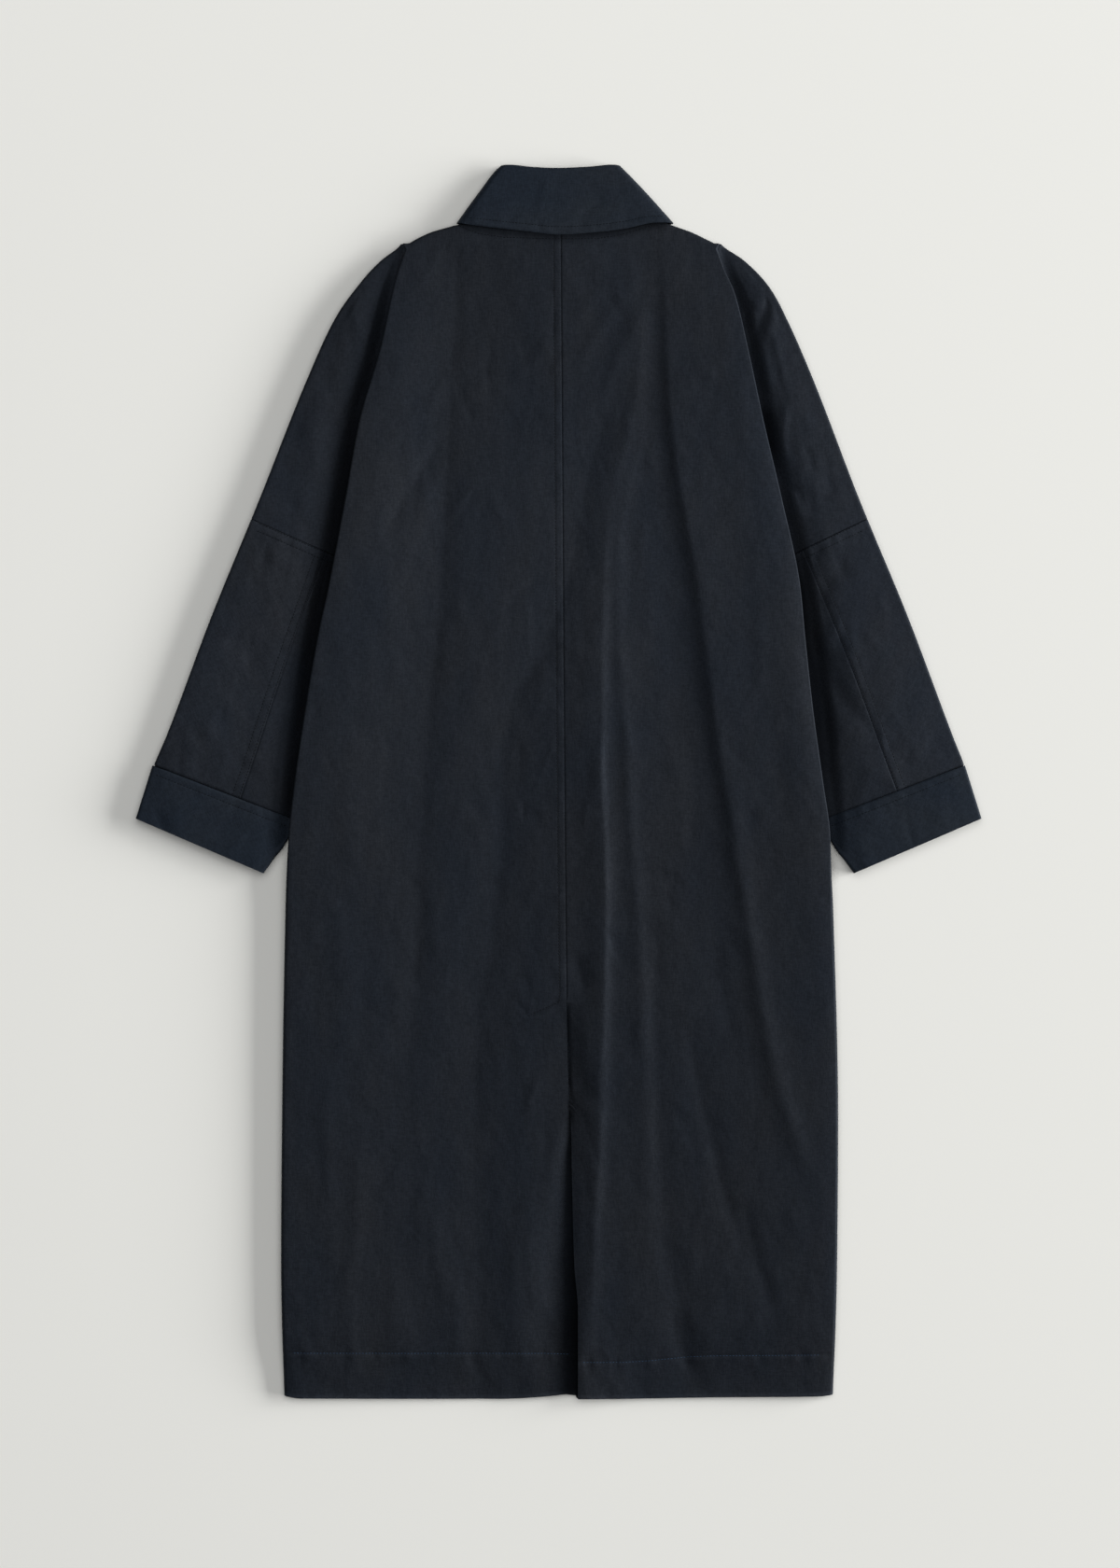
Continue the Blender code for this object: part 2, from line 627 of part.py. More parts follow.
def oilskin(name):
    """A dark navy, softly shining waxed cotton."""
    material = bpy.data.materials.new(name)
    material.use_nodes = True
    shader = material.node_tree.nodes["Principled BSDF"]
    shader.inputs["Base Color"].default_value = OILSKIN_NAVY
    shader.inputs["Roughness"].default_value = OILSKIN_ROUGHNESS
    shader.inputs["Metallic"].default_value = 0.0
    material.diffuse_color = OILSKIN_NAVY
    return material


def sew(name, patches, wall=CLOTH):
    """A wall of cloth of even thickness about the surface that the grids describe."""
    surface = bmesh.new()
    for grid in patches:
        corners = [[surface.verts.new(point * MM) for point in row] for row in grid]
        for upper, lower in zip(corners[:-1], corners[1:]):
            for i in range(len(upper) - 1):
                surface.faces.new((upper[i], upper[i + 1], lower[i + 1], lower[i]))
    bmesh.ops.remove_doubles(surface, verts=surface.verts, dist=WELD * MM)
    bmesh.ops.recalc_face_normals(surface, faces=surface.faces)
    mesh = bpy.data.meshes.new(name)
    surface.to_mesh(mesh)
    surface.free()
    mesh.shade_smooth()
    mesh.materials.append(oilskin(name + "_cloth"))
    piece = bpy.data.objects.new(name, mesh)
    bpy.context.scene.collection.objects.link(piece)
    solidify = piece.modifiers.new("wall", "SOLIDIFY")
    solidify.thickness = wall * MM
    solidify.offset = 0.0
    solidify.use_even_offset = True
    return piece


def build():
    for thing in list(bpy.data.objects):
        bpy.data.objects.remove(thing)
    for side in SIDES:
        patches, path = back_patches(side)
        sew("back_" + side.name, patches)
        ends = {y: side.sign * row[-1][0] for y, row in zip(levels(), patches[0])}
        for y, inner in zip(levels(), patches[1]):
            ends[y] = side.sign * inner[-1][0]
        sew("front_" + side.name, front_patches(side, patches[2], ends, path))
        outer, under, front = sleeve_pieces(side)
        sew("sleeve_outer_" + side.name, outer)
        sew("sleeve_under_" + side.name, under)
        sew("sleeve_front_" + side.name, front)
        sew("cuff_" + side.name, cuff_rings(side), CUFF_CLOTH)
    sew("collar", collar_patches())


build()
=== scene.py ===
# %% [markdown]
# # A long oilskin coat, laid flat with its back up
# An oilskin is a coat of closely woven cotton, dressed with wax so that rain runs off it. This one is wide
# and long, with dropped shoulders, deep cuffs and a vent in the back. It lies on its front on a pale floor,
# and we look straight down on its back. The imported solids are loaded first, as a frame that holds every size.
# Each cut piece of cloth is then made again as a thin, finer shell in the place of its solid.

# %% Load the solids of the coat
import math
from collections import namedtuple

import bmesh
import bpy
import numpy as np
from mathutils.bvhtree import BVHTree
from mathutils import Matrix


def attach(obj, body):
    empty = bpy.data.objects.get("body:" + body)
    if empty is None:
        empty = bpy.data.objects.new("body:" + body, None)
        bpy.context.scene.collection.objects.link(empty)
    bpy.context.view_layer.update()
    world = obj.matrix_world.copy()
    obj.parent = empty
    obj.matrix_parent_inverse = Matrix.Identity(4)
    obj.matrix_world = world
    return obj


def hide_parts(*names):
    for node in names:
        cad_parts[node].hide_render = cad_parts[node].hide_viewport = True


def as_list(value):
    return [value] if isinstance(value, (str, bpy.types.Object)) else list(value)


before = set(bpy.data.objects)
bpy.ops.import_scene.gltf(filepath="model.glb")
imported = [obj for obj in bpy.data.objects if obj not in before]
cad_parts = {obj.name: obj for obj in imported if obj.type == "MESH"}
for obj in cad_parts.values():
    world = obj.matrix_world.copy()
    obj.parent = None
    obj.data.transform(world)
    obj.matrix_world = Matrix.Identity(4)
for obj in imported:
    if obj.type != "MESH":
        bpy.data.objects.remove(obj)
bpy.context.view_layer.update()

# %% [markdown]
# ## Measuring a shape with short tables
# A pattern cutter writes a garment down as a few measures at known heights and draws a fair curve through
# them. The same works here: a table has a row for each height, and a smooth curve through one column gives
# the value at any height between. The curve must not overshoot its points, or an edge would wave, so its
# slopes are kept small wherever the column turns round. All sizes are millimetres until a mesh is made.

# %% Soft steps, tables and fair curves
MM = 0.001


def ease(share):
    """A soft step from 0 to 1."""
    share = np.clip(share, 0.0, 1.0)
    return share * share * (3.0 - 2.0 * share)


def bell(off, reach):
    """A round rise, 1 high where off is 0."""
    return np.exp(-((off / reach) ** 2))


def table(columns, rows):
    """Rows of numbers under named columns."""
    row_type = namedtuple("Row", columns)
    return tuple(row_type(*row) for row in rows)


def curve(rows, along, name):
    """A smooth function through one column of a table, level beyond its ends."""
    order = sorted(rows, key=lambda row: getattr(row, along))
    at = np.array([getattr(row, along) for row in order], float)
    value = np.array([getattr(row, name) for row in order], float)
    step = np.diff(at)
    slope = np.diff(value) / step
    tangent = np.concatenate([slope[:1], np.zeros(len(slope) - 1), slope[-1:]])
    for i in range(1, len(slope)):
        if slope[i - 1] * slope[i] > 0:
            tangent[i] = 2.0 * slope[i - 1] * slope[i] / (slope[i - 1] + slope[i])

    def read(where):
        where = np.clip(where, at[0], at[-1])
        i = np.clip(np.searchsorted(at, where, side="right") - 1, 0, len(step) - 1)
        t = (where - at[i]) / step[i]
        return (
            (2 * t**3 - 3 * t**2 + 1) * value[i]
            + (t**3 - 2 * t**2 + t) * step[i] * tangent[i]
            + (3 * t**2 - 2 * t**3) * value[i + 1]
            + (t**3 - t**2) * step[i] * tangent[i + 1]
        )

    return read


print("ease half way:", float(ease(0.5)))

# %% [markdown]
# ## The side of the back
# Laid flat, the wide back folds over on itself at each side. It rolls over a lip, runs back under and turns
# out again as the arm; below the arm it rolls under to the side seam. The lip is the strongest line in the
# picture, so it has a table of its own: how far out it is on each side, the heights of the layers that its
# roll joins, how far it turns, and how long the layer under it is.

# %% Heights and layers down the side
CLOTH = 1.2
SEAM_GAP = 0.3
FLOOR_LAYER = CLOTH / 2
SHOULDER_Y = 542.5
ARM_HEAD_Y = 533.4
ARM_SEAM_Y = 201.0
HEM_Y = -627.0
LIP = table("y left right high low arm turn straight end", (
    (SHOULDER_Y, 155, 160, 13, 12.2, 11.6, 25, 1.5, 11.6),
    (520, 163, 169, 14.5, 11.5, 9, 110, 1.5, 9),
    (497, 169, 179, 16, 11, 6.4, 180, 6, 11),
    (441, 181, 192.4, 18, 11.4, 4.4, 180, 27, 11.4),
    (368, 202, 208, 19.2, 11.8, 4.3, 180, 46, 11.8),
    (291, 216, 226, 19.8, 12, 4.3, 180, 61, 12),
    (ARM_SEAM_Y, 233, 245, 20, 11.8, 4.3, 180, 71, 11.8),
    (150, 244, 250, 20, 11, 4.3, 180, 78, 6),
    (75, 257, 258.2, 19.4, 10.4, 4.3, 180, 72, 0.6),
    (0, 268, 268.6, 18.4, 9.6, 4.3, 180, 66, 0.6),
    (-50, 273.5, 275.5, 17, 8.6, 4.3, 180, 61, 0.6),
    (-90, 276, 277, 15, 5.4, 4.3, 180, 57, 0.6),
    (-130, 277.5, 279, 13.4, 0.6, 0.3, 180, 54, 0.6),
    (-342, 281, 284, 12.4, 0.6, 0.3, 180, 46, 0.6),
    (-485, 282, 283, 12, 0.6, 0.3, 180, 42, 0.6),
    (HEM_Y, 279, 279, 11.6, 0.6, 0.3, 180, 38, 0.6),
))
lip_high, lip_low, lip_arm, lip_turn, lip_straight, lip_end = (
    curve(LIP, "y", name) for name in ("high", "low", "arm", "turn", "straight", "end")
)
print("lip rows:", len(LIP), "highest", max(row.high for row in LIP), "mm")

# %% [markdown]
# ## Shoulder, arm, neck and centre seam
# The other measures of the outline follow the same way: the edge of shoulder and arm, the neckline, the lower
# sleeve with its elbow seam, and the centre back seam, which drifts a little to the right and opens into the
# vent. Beside each lip the arm lies low in a slot before it rises, and the lip on the right droops a little.
# In the vent the left edge lies on top and the right half dips under it, until lower down the left one sinks
# instead, and by the hem the right edge stands well clear of it.

# %% Tables of the outline
VENT_TOP_Y = -222.0
ARM = table("y left right height", (
    (566, 109, 119, 13), (554, 142, 147, 13), (548.6, 152.5, 161, 13), (ARM_HEAD_Y, 178, 186, 13),
    (503, 206, 215, 13.4), (472.6, 227, 231.5, 13.8), (412, 255, 258, 14.2), (290, 303.5, 305, 14.4),
    (169, 353, 355, 14.2), (47, 399, 401, 13.4), (19, 411, 412, 13), (-36, 429.4, 429.4, 12),
    (-91, 440, 440, 11),
))
SLEEVE = table("station outer_y inner_left inner_right inner_y elbow_left elbow_right", (
    (0, 269, 157, 171, ARM_SEAM_Y, 0.47, 0.44),
    (0.5, 144, 212, 219, 81, 0.53, 0.44),
    (1, 19, 264, 265, -38, 0.59, 0.45),
))
SLEEVE_LENGTH = SLEEVE[0].outer_y - SLEEVE[-1].outer_y
NECK = table("left right y", (
    (0, 0, 563.5), (31, 49, 565), (62, 80, 567), (76, 92, 568.4), (81, 97, 569.8), (87, 102.5, 569),
    (92, 106.5, 563), (107, 117, 559), (126, 131.5, 553.8), (139, 143.8, 548.2), (149, 155, SHOULDER_Y),
))
MIDDLE = table("y height", (
    (570, 13.6), (500, 12.6), (400, 11.4), (0, 10.6), (HEM_Y, 9.6),
))
CENTRE_SEAM = table("y x", (
    (570, 2), (0, 6), (VENT_TOP_Y, 8.2), (-380, 13), (-490, 16), (-535, 19.6), (HEM_Y, 19.6),
))
VENT = table("y left right left_dip right_dip left_width", (
    (VENT_TOP_Y, 0.15, 0.15, 0, 0, 12), (-232, 0.2, 0.2, 0, 2.2, 12), (-246, 0.2, 0.2, 0, 3.2, 12),
    (-300, 0.6, -16, 0, 3.8, 12), (-318, 0.6, -12, 0, 3.6, 12), (-336, 0.6, 0.6, 0.2, 3, 12),
    (-346, 0.6, 0.6, 1.2, 2.4, 12), (-358, 0.6, 0.6, 2.6, 1.9, 14), (-372, 0.4, 0.4, 3.6, 1.6, 18),
    (-390, -6, 0, 3.9, 1.5, 24), (-437, -12, 0, 4.5, 1.2, 38), (-485, -12, 0, 5.2, 0.8, 50),
    (-523, -12, 0, 5.4, 0, 58), (-561, -12, 0, 5.4, -0.8, 60), (-590, -12, 0, 4.8, -1, 60),
    (HEM_Y, -12, 0, 4.6, -1, 60),
))
ARM_RISE = table("y left right slot_left slot_right droop_left droop_right", (
    (540, 24, 20, 0, 0, 0, 0), (440, 34, 30, 4, 3, 0, 1.2), (300, 40, 34, 5, 3, 0, 2),
    (ARM_SEAM_Y, 40, 36, 6, 6, 0, 2.2), (132, 40, 40, 5, 9, 0, 2.4), (75, 40, 44, 4, 11, 0, 2.4),
    (18, 38, 42, 3.5, 8, 0, 2.2), (-20, 36, 38, 2, 6, 0, 2), (-90, 34, 36, 2, 2, 0, 1.6),
    (HEM_Y, 34, 36, 2, 2, 0, 0.8),
))
middle_height = curve(MIDDLE, "y", "height")
seam_x = curve(CENTRE_SEAM, "y", "x")
arm_top = curve(ARM, "y", "height")
print("outline rows:", len(ARM), "vent rows:", len(VENT))


# %% The two sides of the coat
class Side:
    """One side of the coat: sign is -1 on the left, 1 on the right. "Out" is a distance from the middle."""

    def __init__(self, name, sign):
        self.name = name
        self.sign = sign
        self.lip = curve(LIP, "y", name)
        self.outline = curve(ARM, "y", name)
        self.neck = curve(NECK, name, "y")
        self.sleeve_inner = curve(SLEEVE, "inner_y", "inner_" + name)
        self.elbow = curve(SLEEVE, "station", "elbow_" + name)
        self.vent = curve(VENT, "y", name)
        self.vent_dip = curve(VENT, "y", name + "_dip")
        self.arm_rise = curve(ARM_RISE, "y", name)
        self.slot = curve(ARM_RISE, "y", "slot_" + name)
        self.droop = curve(ARM_RISE, "y", "droop_" + name)

    def points(self, out, y, z):
        out, y, z = np.broadcast_arrays(np.asarray(out, float), y, z)
        return np.stack([self.sign * out, y, z], axis=-1)


SIDES = (Side("left", -1.0), Side("right", 1.0))
print("sides:", [(side.name, float(side.lip(0.0))) for side in SIDES])

# %% [markdown]
# ## The long folds of the back
# Waxed cotton is stiff, so its folds are long, low and often sharp on one flank. Each one was placed along
# the bright and dark lines of the photograph: a bright line is a flank that faces the light on the right.
# Simulation would give folds, but not these. A fold has a row for each point along it, with its own height
# and the reach of its left and right flanks. A height below zero is a trough. The first number of a fold is
# its sharpness: near 2 it is round, near 1 it is creased.

# %% Long folds
CREST = "y x height left right"
LONG_FOLDS = {
    "from the right of the neck to the right hem": (1.7, table(CREST, (
        (555, 107, 0.4, 7, 24), (465, 110, 2, 7, 34), (392, 113, 3.4, 6.5, 38), (312, 122, 4.2, 6.5, 40),
        (224, 138, 4.6, 6.5, 40), (119, 152, 4.6, 7, 38), (46, 161.5, 4.2, 7.5, 32), (-42, 177, 3.8, 9, 20),
        (-98, 185, 3.2, 9, 14), (-154, 195, 2.8, 9, 12), (-235, 208, 2.6, 10, 11), (-307, 224, 2.2, 11, 11),
        (-364, 242, 1.7, 12, 12), (-410, 262, 0, 12, 12),
    ))),
    "beside the centre seam on the right": (1.6, table(CREST, (
        (535, 90, 0, 24, 9), (489, 86, 1.2, 24, 10), (449, 83.5, 1.8, 24, 10), (392, 78, 2, 24, 10),
        (352, 70, 2.2, 22, 10), (312, 58, 2.4, 22, 9.5), (264, 50, 2.4, 22, 9), (200, 45, 2.4, 22, 8),
        (87, 43, 3, 22, 7), (6, 42.5, 3.6, 20, 6.5), (-58, 46, 3.6, 20, 6.5), (-114, 47, 3.6, 20, 6.5),
        (-195, 46, 3.5, 18, 6.5), (-299, 43, 3.2, 16, 6.5), (-380, 40.5, 2.6, 15, 7),
        (-444, 36.5, 2.2, 13, 7.5), (-516, 34, 1.6, 12, 8), (-580, 30, 0.4, 10, 8),
    ))),
    "second on the right": (1.6, table(CREST, (
        (400, 88, 0, 8, 6), (344, 82, 0.8, 8, 6), (304, 69, 1, 7, 6), (224, 61, 1.1, 7, 6),
        (150, 62, 1.2, 8, 6), (55, 68, 1.4, 8, 6), (-66, 76, 1.5, 8, 6), (-138, 81, 1.5, 9, 6),
        (-203, 85, 1.5, 10, 6.5), (-315, 89, 1.4, 12, 7), (-396, 91, 1.2, 14, 8), (-470, 95, 0.8, 14, 10),
        (-560, 100, 0, 14, 12),
    ))),
    "trough right of the second": (1.4, table(CREST, (
        (-120, 94, 0, 8, 12), (-195, 97, -0.8, 9, 12), (-315, 100, -1.1, 12, 12), (-436, 107, -1.6, 20, 12),
        (-516, 119, -2, 24, 12), (-560, 130, -1.8, 24, 12), (-620, 136, -1.1, 24, 12),
    ))),
    "trough left of the centre seam": (1.2, table(CREST, (
        (430, 62, 0, 26, 22), (376, 50, -1.8, 30, 22), (328, 34, -2.8, 32, 24), (248, 18, -3, 34, 26),
        (183, 2, -3.2, 36, 32), (135, -20, -3.6, 38, 40), (95, -42, -4, 38, 46), (47, -56, -4.4, 40, 50),
        (-42, -57, -4.8, 42, 50), (-98, -61, -4.8, 42, 48), (-155, -69, -4.4, 44, 44),
        (-235, -81, -3.8, 46, 40), (-315, -85, -3, 46, 32), (-396, -84, -2.4, 44, 26),
        (-500, -81, -2, 38, 20), (-627, -81, -1.8, 30, 18),
    ))),
    "down the left side": (1.4, table(CREST, (
        (545, -103, -0.8, 44, 8), (457, -106, -1.8, 48, 9), (409, -110, -2, 48, 9), (352, -112, -2.2, 48, 9),
        (296, -115, -2.2, 46, 9), (191, -121, -2, 44, 10), (87, -131, -1.9, 42, 10), (22, -136, -1.8, 40, 10),
        (-74, -141, -1.6, 38, 10), (-179, -145, -1.5, 36, 11), (-243, -149, -1.3, 34, 12),
        (-400, -158, 0, 30, 14),
    ))),
    "under the collar": (2.0, table(CREST, (
        (570, 10, 2.6, 84, 46), (500, 4, 2.4, 80, 46), (440, -8, 1.4, 60, 40), (390, -20, 0, 50, 40),
    ))),
}


def long_folds(x, y):
    """The height that the long folds add at places on the back."""
    total = np.zeros(np.broadcast(x, y).shape)
    for sharpness, crests in LONG_FOLDS.values():
        middle, height, left, right = (
            curve(crests, "y", name)(y) for name in ("x", "height", "left", "right")
        )
        off = x - middle
        inside = (y <= crests[0].y) & (y >= crests[-1].y)
        flank = np.abs(off / np.where(off < 0, left, right)) ** sharpness
        total += np.where(inside, height, 0.0) * np.exp(-flank)
    return total


print("long folds:", len(LONG_FOLDS))

# %% [markdown]
# ## Short creases and the crumple of wax
# Between the long folds lie short creases: drag lines from the neck, breaks where a fold bends, and dents
# near the hem. Each is a straight or bowed line with a height and a reach. Under them the whole cloth has a
# faint crumple, which wax keeps. That is many hundred tiny creases, spread by a seeded generator, so each run
# gives the same coat.

# %% Short creases
CREASE = "x0 y0 x1 y1 bow reach height"
BACK_CREASES = table(CREASE, (
    (90, 524, 6, 462, 6, 9, 0.9), (86, 514, 12, 410, 6, 8, 1.2), (90, 486, 40, 376, 5, 7, 1.1),
    (-2, 452, -50, 404, 2, 6, 0.8), (-8, 216, -60, 170, 3, 6, -0.9), (4, 150, -40, 92, 3, 6, -0.9),
    (-16, 446, -42, 420, 2, 8, -0.7), (-108, 362, -180, 238, 6, 8, -1.6), (-120, 322, -152, 226, 4, 10, 0.8),
    (206, 500, 190, 440, 3, 9, -1), (132, -236, 160, -380, 4, 7, -1.2), (150, -330, 198, -500, 5, 8, -1.6),
    (186, -410, 226, -556, 5, 8, -1.4), (150, -150, 176, -280, -4, 8, -1),
    (112, -526, 216, -546, -8, 10, -0.6), (114, -522, 140, -616, 4, 9, -1.6),
    (18, -168, 30, -214, 3, 8, -1.6), (26, -290, 34, -330, 2, 9, -1.2), (-236, -290, -230, -440, 3, 8, 1),
    (-198, -330, -206, -520, 3, 8, 0.9), (-214, -470, -204, -600, 3, 8, 0.8),
    (-138, -380, -148, -520, -3, 8, 0.9), (-128, -420, -112, -540, 3, 9, 1.2),
    (-168, -470, -160, -600, 3, 9, 1), (-104, -490, -96, -620, 3, 8, 1), (-44, -440, -38, -600, 3, 9, 1),
    (-45, -219, -29, -238, 0, 2, -0.5), (6, -219, -35, -238.2, 0, 1.2, -0.9),
    (-210, 60, -196, -120, 8, 14, 0.8), (-222, -120, -226, -300, -6, 13, 0.8), (218, 90, 238, -60, 4, 12, -1),
    (120, 60, 132, -90, 3, 10, 0.8), (-30, -400, -24, -560, 3, 12, 0.8),
))
print("short creases:", len(BACK_CREASES))

# %% Creases as heights, and crumples
CREASE_SHARPNESS = 1.5
CREASE_FADE = 0.3
CRUMPLE_LENGTH = (16.0, 70.0)
CRUMPLE_BOW = (-3.0, 3.0)
CRUMPLE_REACH = (3.0, 7.5)
CRUMPLE_HEIGHT = 0.25
CRUMPLE_TURN = 0.6


def crease_lines(creases, x, y):
    """The height that short creases add, each fading to its ends."""
    x, y = np.broadcast_arrays(x, y)
    low_x, high_x, low_y, high_y = x.min(), x.max(), y.min(), y.max()
    total = np.zeros(x.shape)
    for crease in creases:
        run_x, run_y = crease.x1 - crease.x0, crease.y1 - crease.y0
        length = math.hypot(run_x, run_y)
        reach = length / 2 + abs(crease.bow)
        mid_x, mid_y = (crease.x0 + crease.x1) / 2, (crease.y0 + crease.y1) / 2
        if not (low_x - reach < mid_x < high_x + reach and low_y - reach < mid_y < high_y + reach):
            continue
        near = np.nonzero(np.abs(y - mid_y) < reach)
        near = tuple(index[np.abs(x[near] - mid_x) < reach] for index in near)
        from_x, from_y = x[near] - crease.x0, y[near] - crease.y0
        along = np.clip((from_x * run_x + from_y * run_y) / length**2, 0.0, 1.0)
        off = (from_x * run_y - from_y * run_x) / length - crease.bow * 4 * along * (1 - along)
        fade = ease(along / CREASE_FADE) * ease((1 - along) / CREASE_FADE)
        total[near] += crease.height * fade * np.exp(-(np.abs(off / crease.reach) ** CREASE_SHARPNESS))
    return total


def crumples(seed, low, high, count):
    """Tiny creases over a stretch of cloth, most of them running down it."""
    random = np.random.default_rng(seed)
    made = []
    for _ in range(count):
        x, y = random.uniform(low, high)
        turn = random.normal(0.0, CRUMPLE_TURN)
        length = random.uniform(*CRUMPLE_LENGTH)
        bow, reach = random.uniform(*CRUMPLE_BOW), random.uniform(*CRUMPLE_REACH)
        height = random.normal(0.0, CRUMPLE_HEIGHT)
        made.append((x, y, x + length * math.sin(turn), y - length * math.cos(turn), bow, reach, height))
    return table(CREASE, made)


BACK_CRUMPLE = crumples(seed=11, low=(-280, -640), high=(280, 570), count=1500)
print("crumples:", len(BACK_CRUMPLE))

# %% [markdown]
# ## Relief at seams and hem
# Where cloth is sewn it changes height: the allowance under a seam lifts a narrow band, the row of stitches
# pulls a groove, and the thread draws the cloth up in tiny puckers. These few tenths of a millimetre catch
# the low light and draw every seam, so they are modelled and not painted. The puckers are three waves, each
# swelling and fading with a slower one, and every seam starts them at a place of its own.

# %% Relief across a sewn edge
SEAM_BAND = 0.12
BAND_RAMP = 2.4
BAND_PAST = 1.6
SEAM_GROOVE = 0.26
GROOVE_REACH = 0.8
SEAM_DIP = 0.8
SEAM_DIP_REACH = 0.8
PUCKER = 0.3
PUCKER_REACH = 4.5
PUCKER_WAVES = table("share wave start swell swell_start least", (
    (1.0, 2.9, 1.0, 11.3, 2.1, 0.0), (0.7, 5.3, 3.7, 23.0, 1.0, 0.0), (0.13, 0.85, 1.0, 6.1, 1.0, 1.0),
))
PUCKER_STARTS = {"centre": 1.0, "arm": 2.0, "hem": 4.0, "elbow": 5.0, "cuff": 7.0, "collar": 9.0}


def puckers(along, start):
    """An uneven ripple along a row of stitches."""
    return sum(
        wave.share * np.sin(along / wave.wave + wave.start * start)
        * (wave.least + np.sin(along / wave.swell + wave.swell_start * start))
        for wave in PUCKER_WAVES
    )


def seam_dip(off):
    """The narrow valley into which both edges of a seam turn down."""
    return SEAM_DIP * bell(off, SEAM_DIP_REACH)


def sewn_band(off, along, inset, start, dip=1.0):
    """Relief across a sewn edge: off runs from the edge inwards, with stitches at the inset."""
    band = SEAM_BAND * ease(off / BAND_RAMP) * ease((inset + BAND_PAST - off) / BAND_RAMP)
    groove = SEAM_GROOVE * bell(off - inset, GROOVE_REACH) + dip * seam_dip(off)
    return band - groove + PUCKER * puckers(along, start) * bell(off - inset, PUCKER_REACH)


print("depth of a seam's valley:", float(seam_dip(0.0)), "mm")

# %% Centre seam and hem
STITCH_INSET = 7.0
LIT_DIP = 0.3
SEWN_RAMP = 10.0
HEM_BAND = 0.5
HEM_BAND_RAMP = 4.0
HEM_GROOVE_REACH = 1.5
HEM_PUCKER = 1.6
HEM_PUCKER_BELOW = 3.0
HEM_PUCKER_REACH = 7.0
HEM = table("x line edge", (
    (-282, -577, -620.7), (-262, -578.5, -623.7), (-60, -579, -624.3), (-18, -579, -622.1),
    (10, -580, -619.2), (17, -580, -618.3), (19, -588, -623.9), (60, -588, -624.1), (158, -581.5, -622.7),
    (262, -580.5, -621.7), (282, -580, -619.7),
))
hem_line = curve(HEM, "x", "line")
hem_edge = curve(HEM, "x", "edge")


def centre_relief(side, off, y):
    """The centre seam: a groove on both sides, with the allowance and its stitches on the left."""
    sewn = ease((y - VENT_TOP_Y) / SEWN_RAMP)
    if side.name == "left":
        return sewn * sewn_band(off, y, STITCH_INSET, PUCKER_STARTS["centre"], LIT_DIP)
    return -sewn * seam_dip(off)


def hem_relief(x, y):
    """The turned-up hem: double cloth under a row of stitches, drawn up by the thread."""
    off = y - hem_line(x)
    groove = SEAM_GROOVE * bell(off, HEM_GROOVE_REACH)
    ripple = PUCKER * puckers(x, PUCKER_STARTS["hem"]) * bell(off + HEM_PUCKER_BELOW, HEM_PUCKER_REACH)
    return HEM_BAND * ease(-off / HEM_BAND_RAMP) - groove + HEM_PUCKER * ripple


print("hem turned up by", round(float(hem_line(0.0) - hem_edge(0.0)), 1), "mm")

# %% [markdown]
# ## One half of the back as rows of points
# Each level down the coat gives one row: over the top from the centre edge, round the lip, back under, and
# where the arm is, round the inner turn. Waxed cloth folds sharply, so the lip's roll is tight and the layer
# under it drops away behind, where a shadow gathers. Rows near the top bend up to the neckline. Rows stacked
# down the coat are a grid, and a grid is the simplest thing to turn into a smooth mesh. Columns are closer at
# the centre seam and rows closer at seams and hem, where the relief is fine.

# %% Levels down the back
ROW_STEP = 4.2
FINE_ROW_STEP = 1.2
SEAM_ROWS = (2.6, 1.5, 0.7)
HEM_FINE = (-570.0, -594.0)
VENT_HEAD = (-214.0, -242.0)


def stretch(first, last, step):
    """Even places from first towards last, which is left out."""
    return np.linspace(first, last, math.ceil(abs(last - first) / step), endpoint=False)


LEVELS = np.concatenate([
    stretch(SHOULDER_Y, ARM_SEAM_Y + ROW_STEP, ROW_STEP),
    ARM_SEAM_Y + np.array([ROW_STEP, *SEAM_ROWS]),
    stretch(ARM_SEAM_Y, VENT_HEAD[0], ROW_STEP),
    stretch(VENT_HEAD[0], VENT_HEAD[1], FINE_ROW_STEP),
    stretch(VENT_HEAD[1], HEM_FINE[0], ROW_STEP),
    stretch(HEM_FINE[0], HEM_FINE[1], FINE_ROW_STEP),
    stretch(HEM_FINE[1], HEM_Y, ROW_STEP),
    [HEM_Y],
])
ARM_LEVELS = int((LEVELS >= ARM_SEAM_Y).sum())
print("rows:", len(LEVELS), "of them beside the arm:", ARM_LEVELS)

# %% The height of the back
BACK_RISE_START = 0.45
BACK_RISE_SHARE = 0.5
DROOP_REACH = 26.0
HEM_SINK = 4.2
HEM_SINK_FROM = 80.0
HEM_SINK_CLEAR = 14.0
HEM_SINK_RAMP = 60.0
FOLD_STOP = 12.0
FOLD_RAMP = 34.0
FINE_RAMP = 10.0
NECK_SETTLE = 150.0
VENT_DIP_WIDTH = 22.0
VENT_CROSS_Y = -350.0
CREVICE = 0.65
CREVICE_OFF = 0.6
CREVICE_REACH = 1.7
CREVICE_RAMP = 20.0
vent_left_width = curve(VENT, "y", "left_width")


def lifted(y, top):
    """Rows bend up to the top edge at the top of the coat and are level lower down."""
    settle = 1.0 - ease((SHOULDER_Y - y) / NECK_SETTLE)
    return y + (top - SHOULDER_Y) * settle


def hem_sink(y):
    """How far the back settles towards the floor at its hem."""
    return HEM_SINK * ease((HEM_Y + HEM_SINK_FROM - y) / HEM_SINK_FROM)


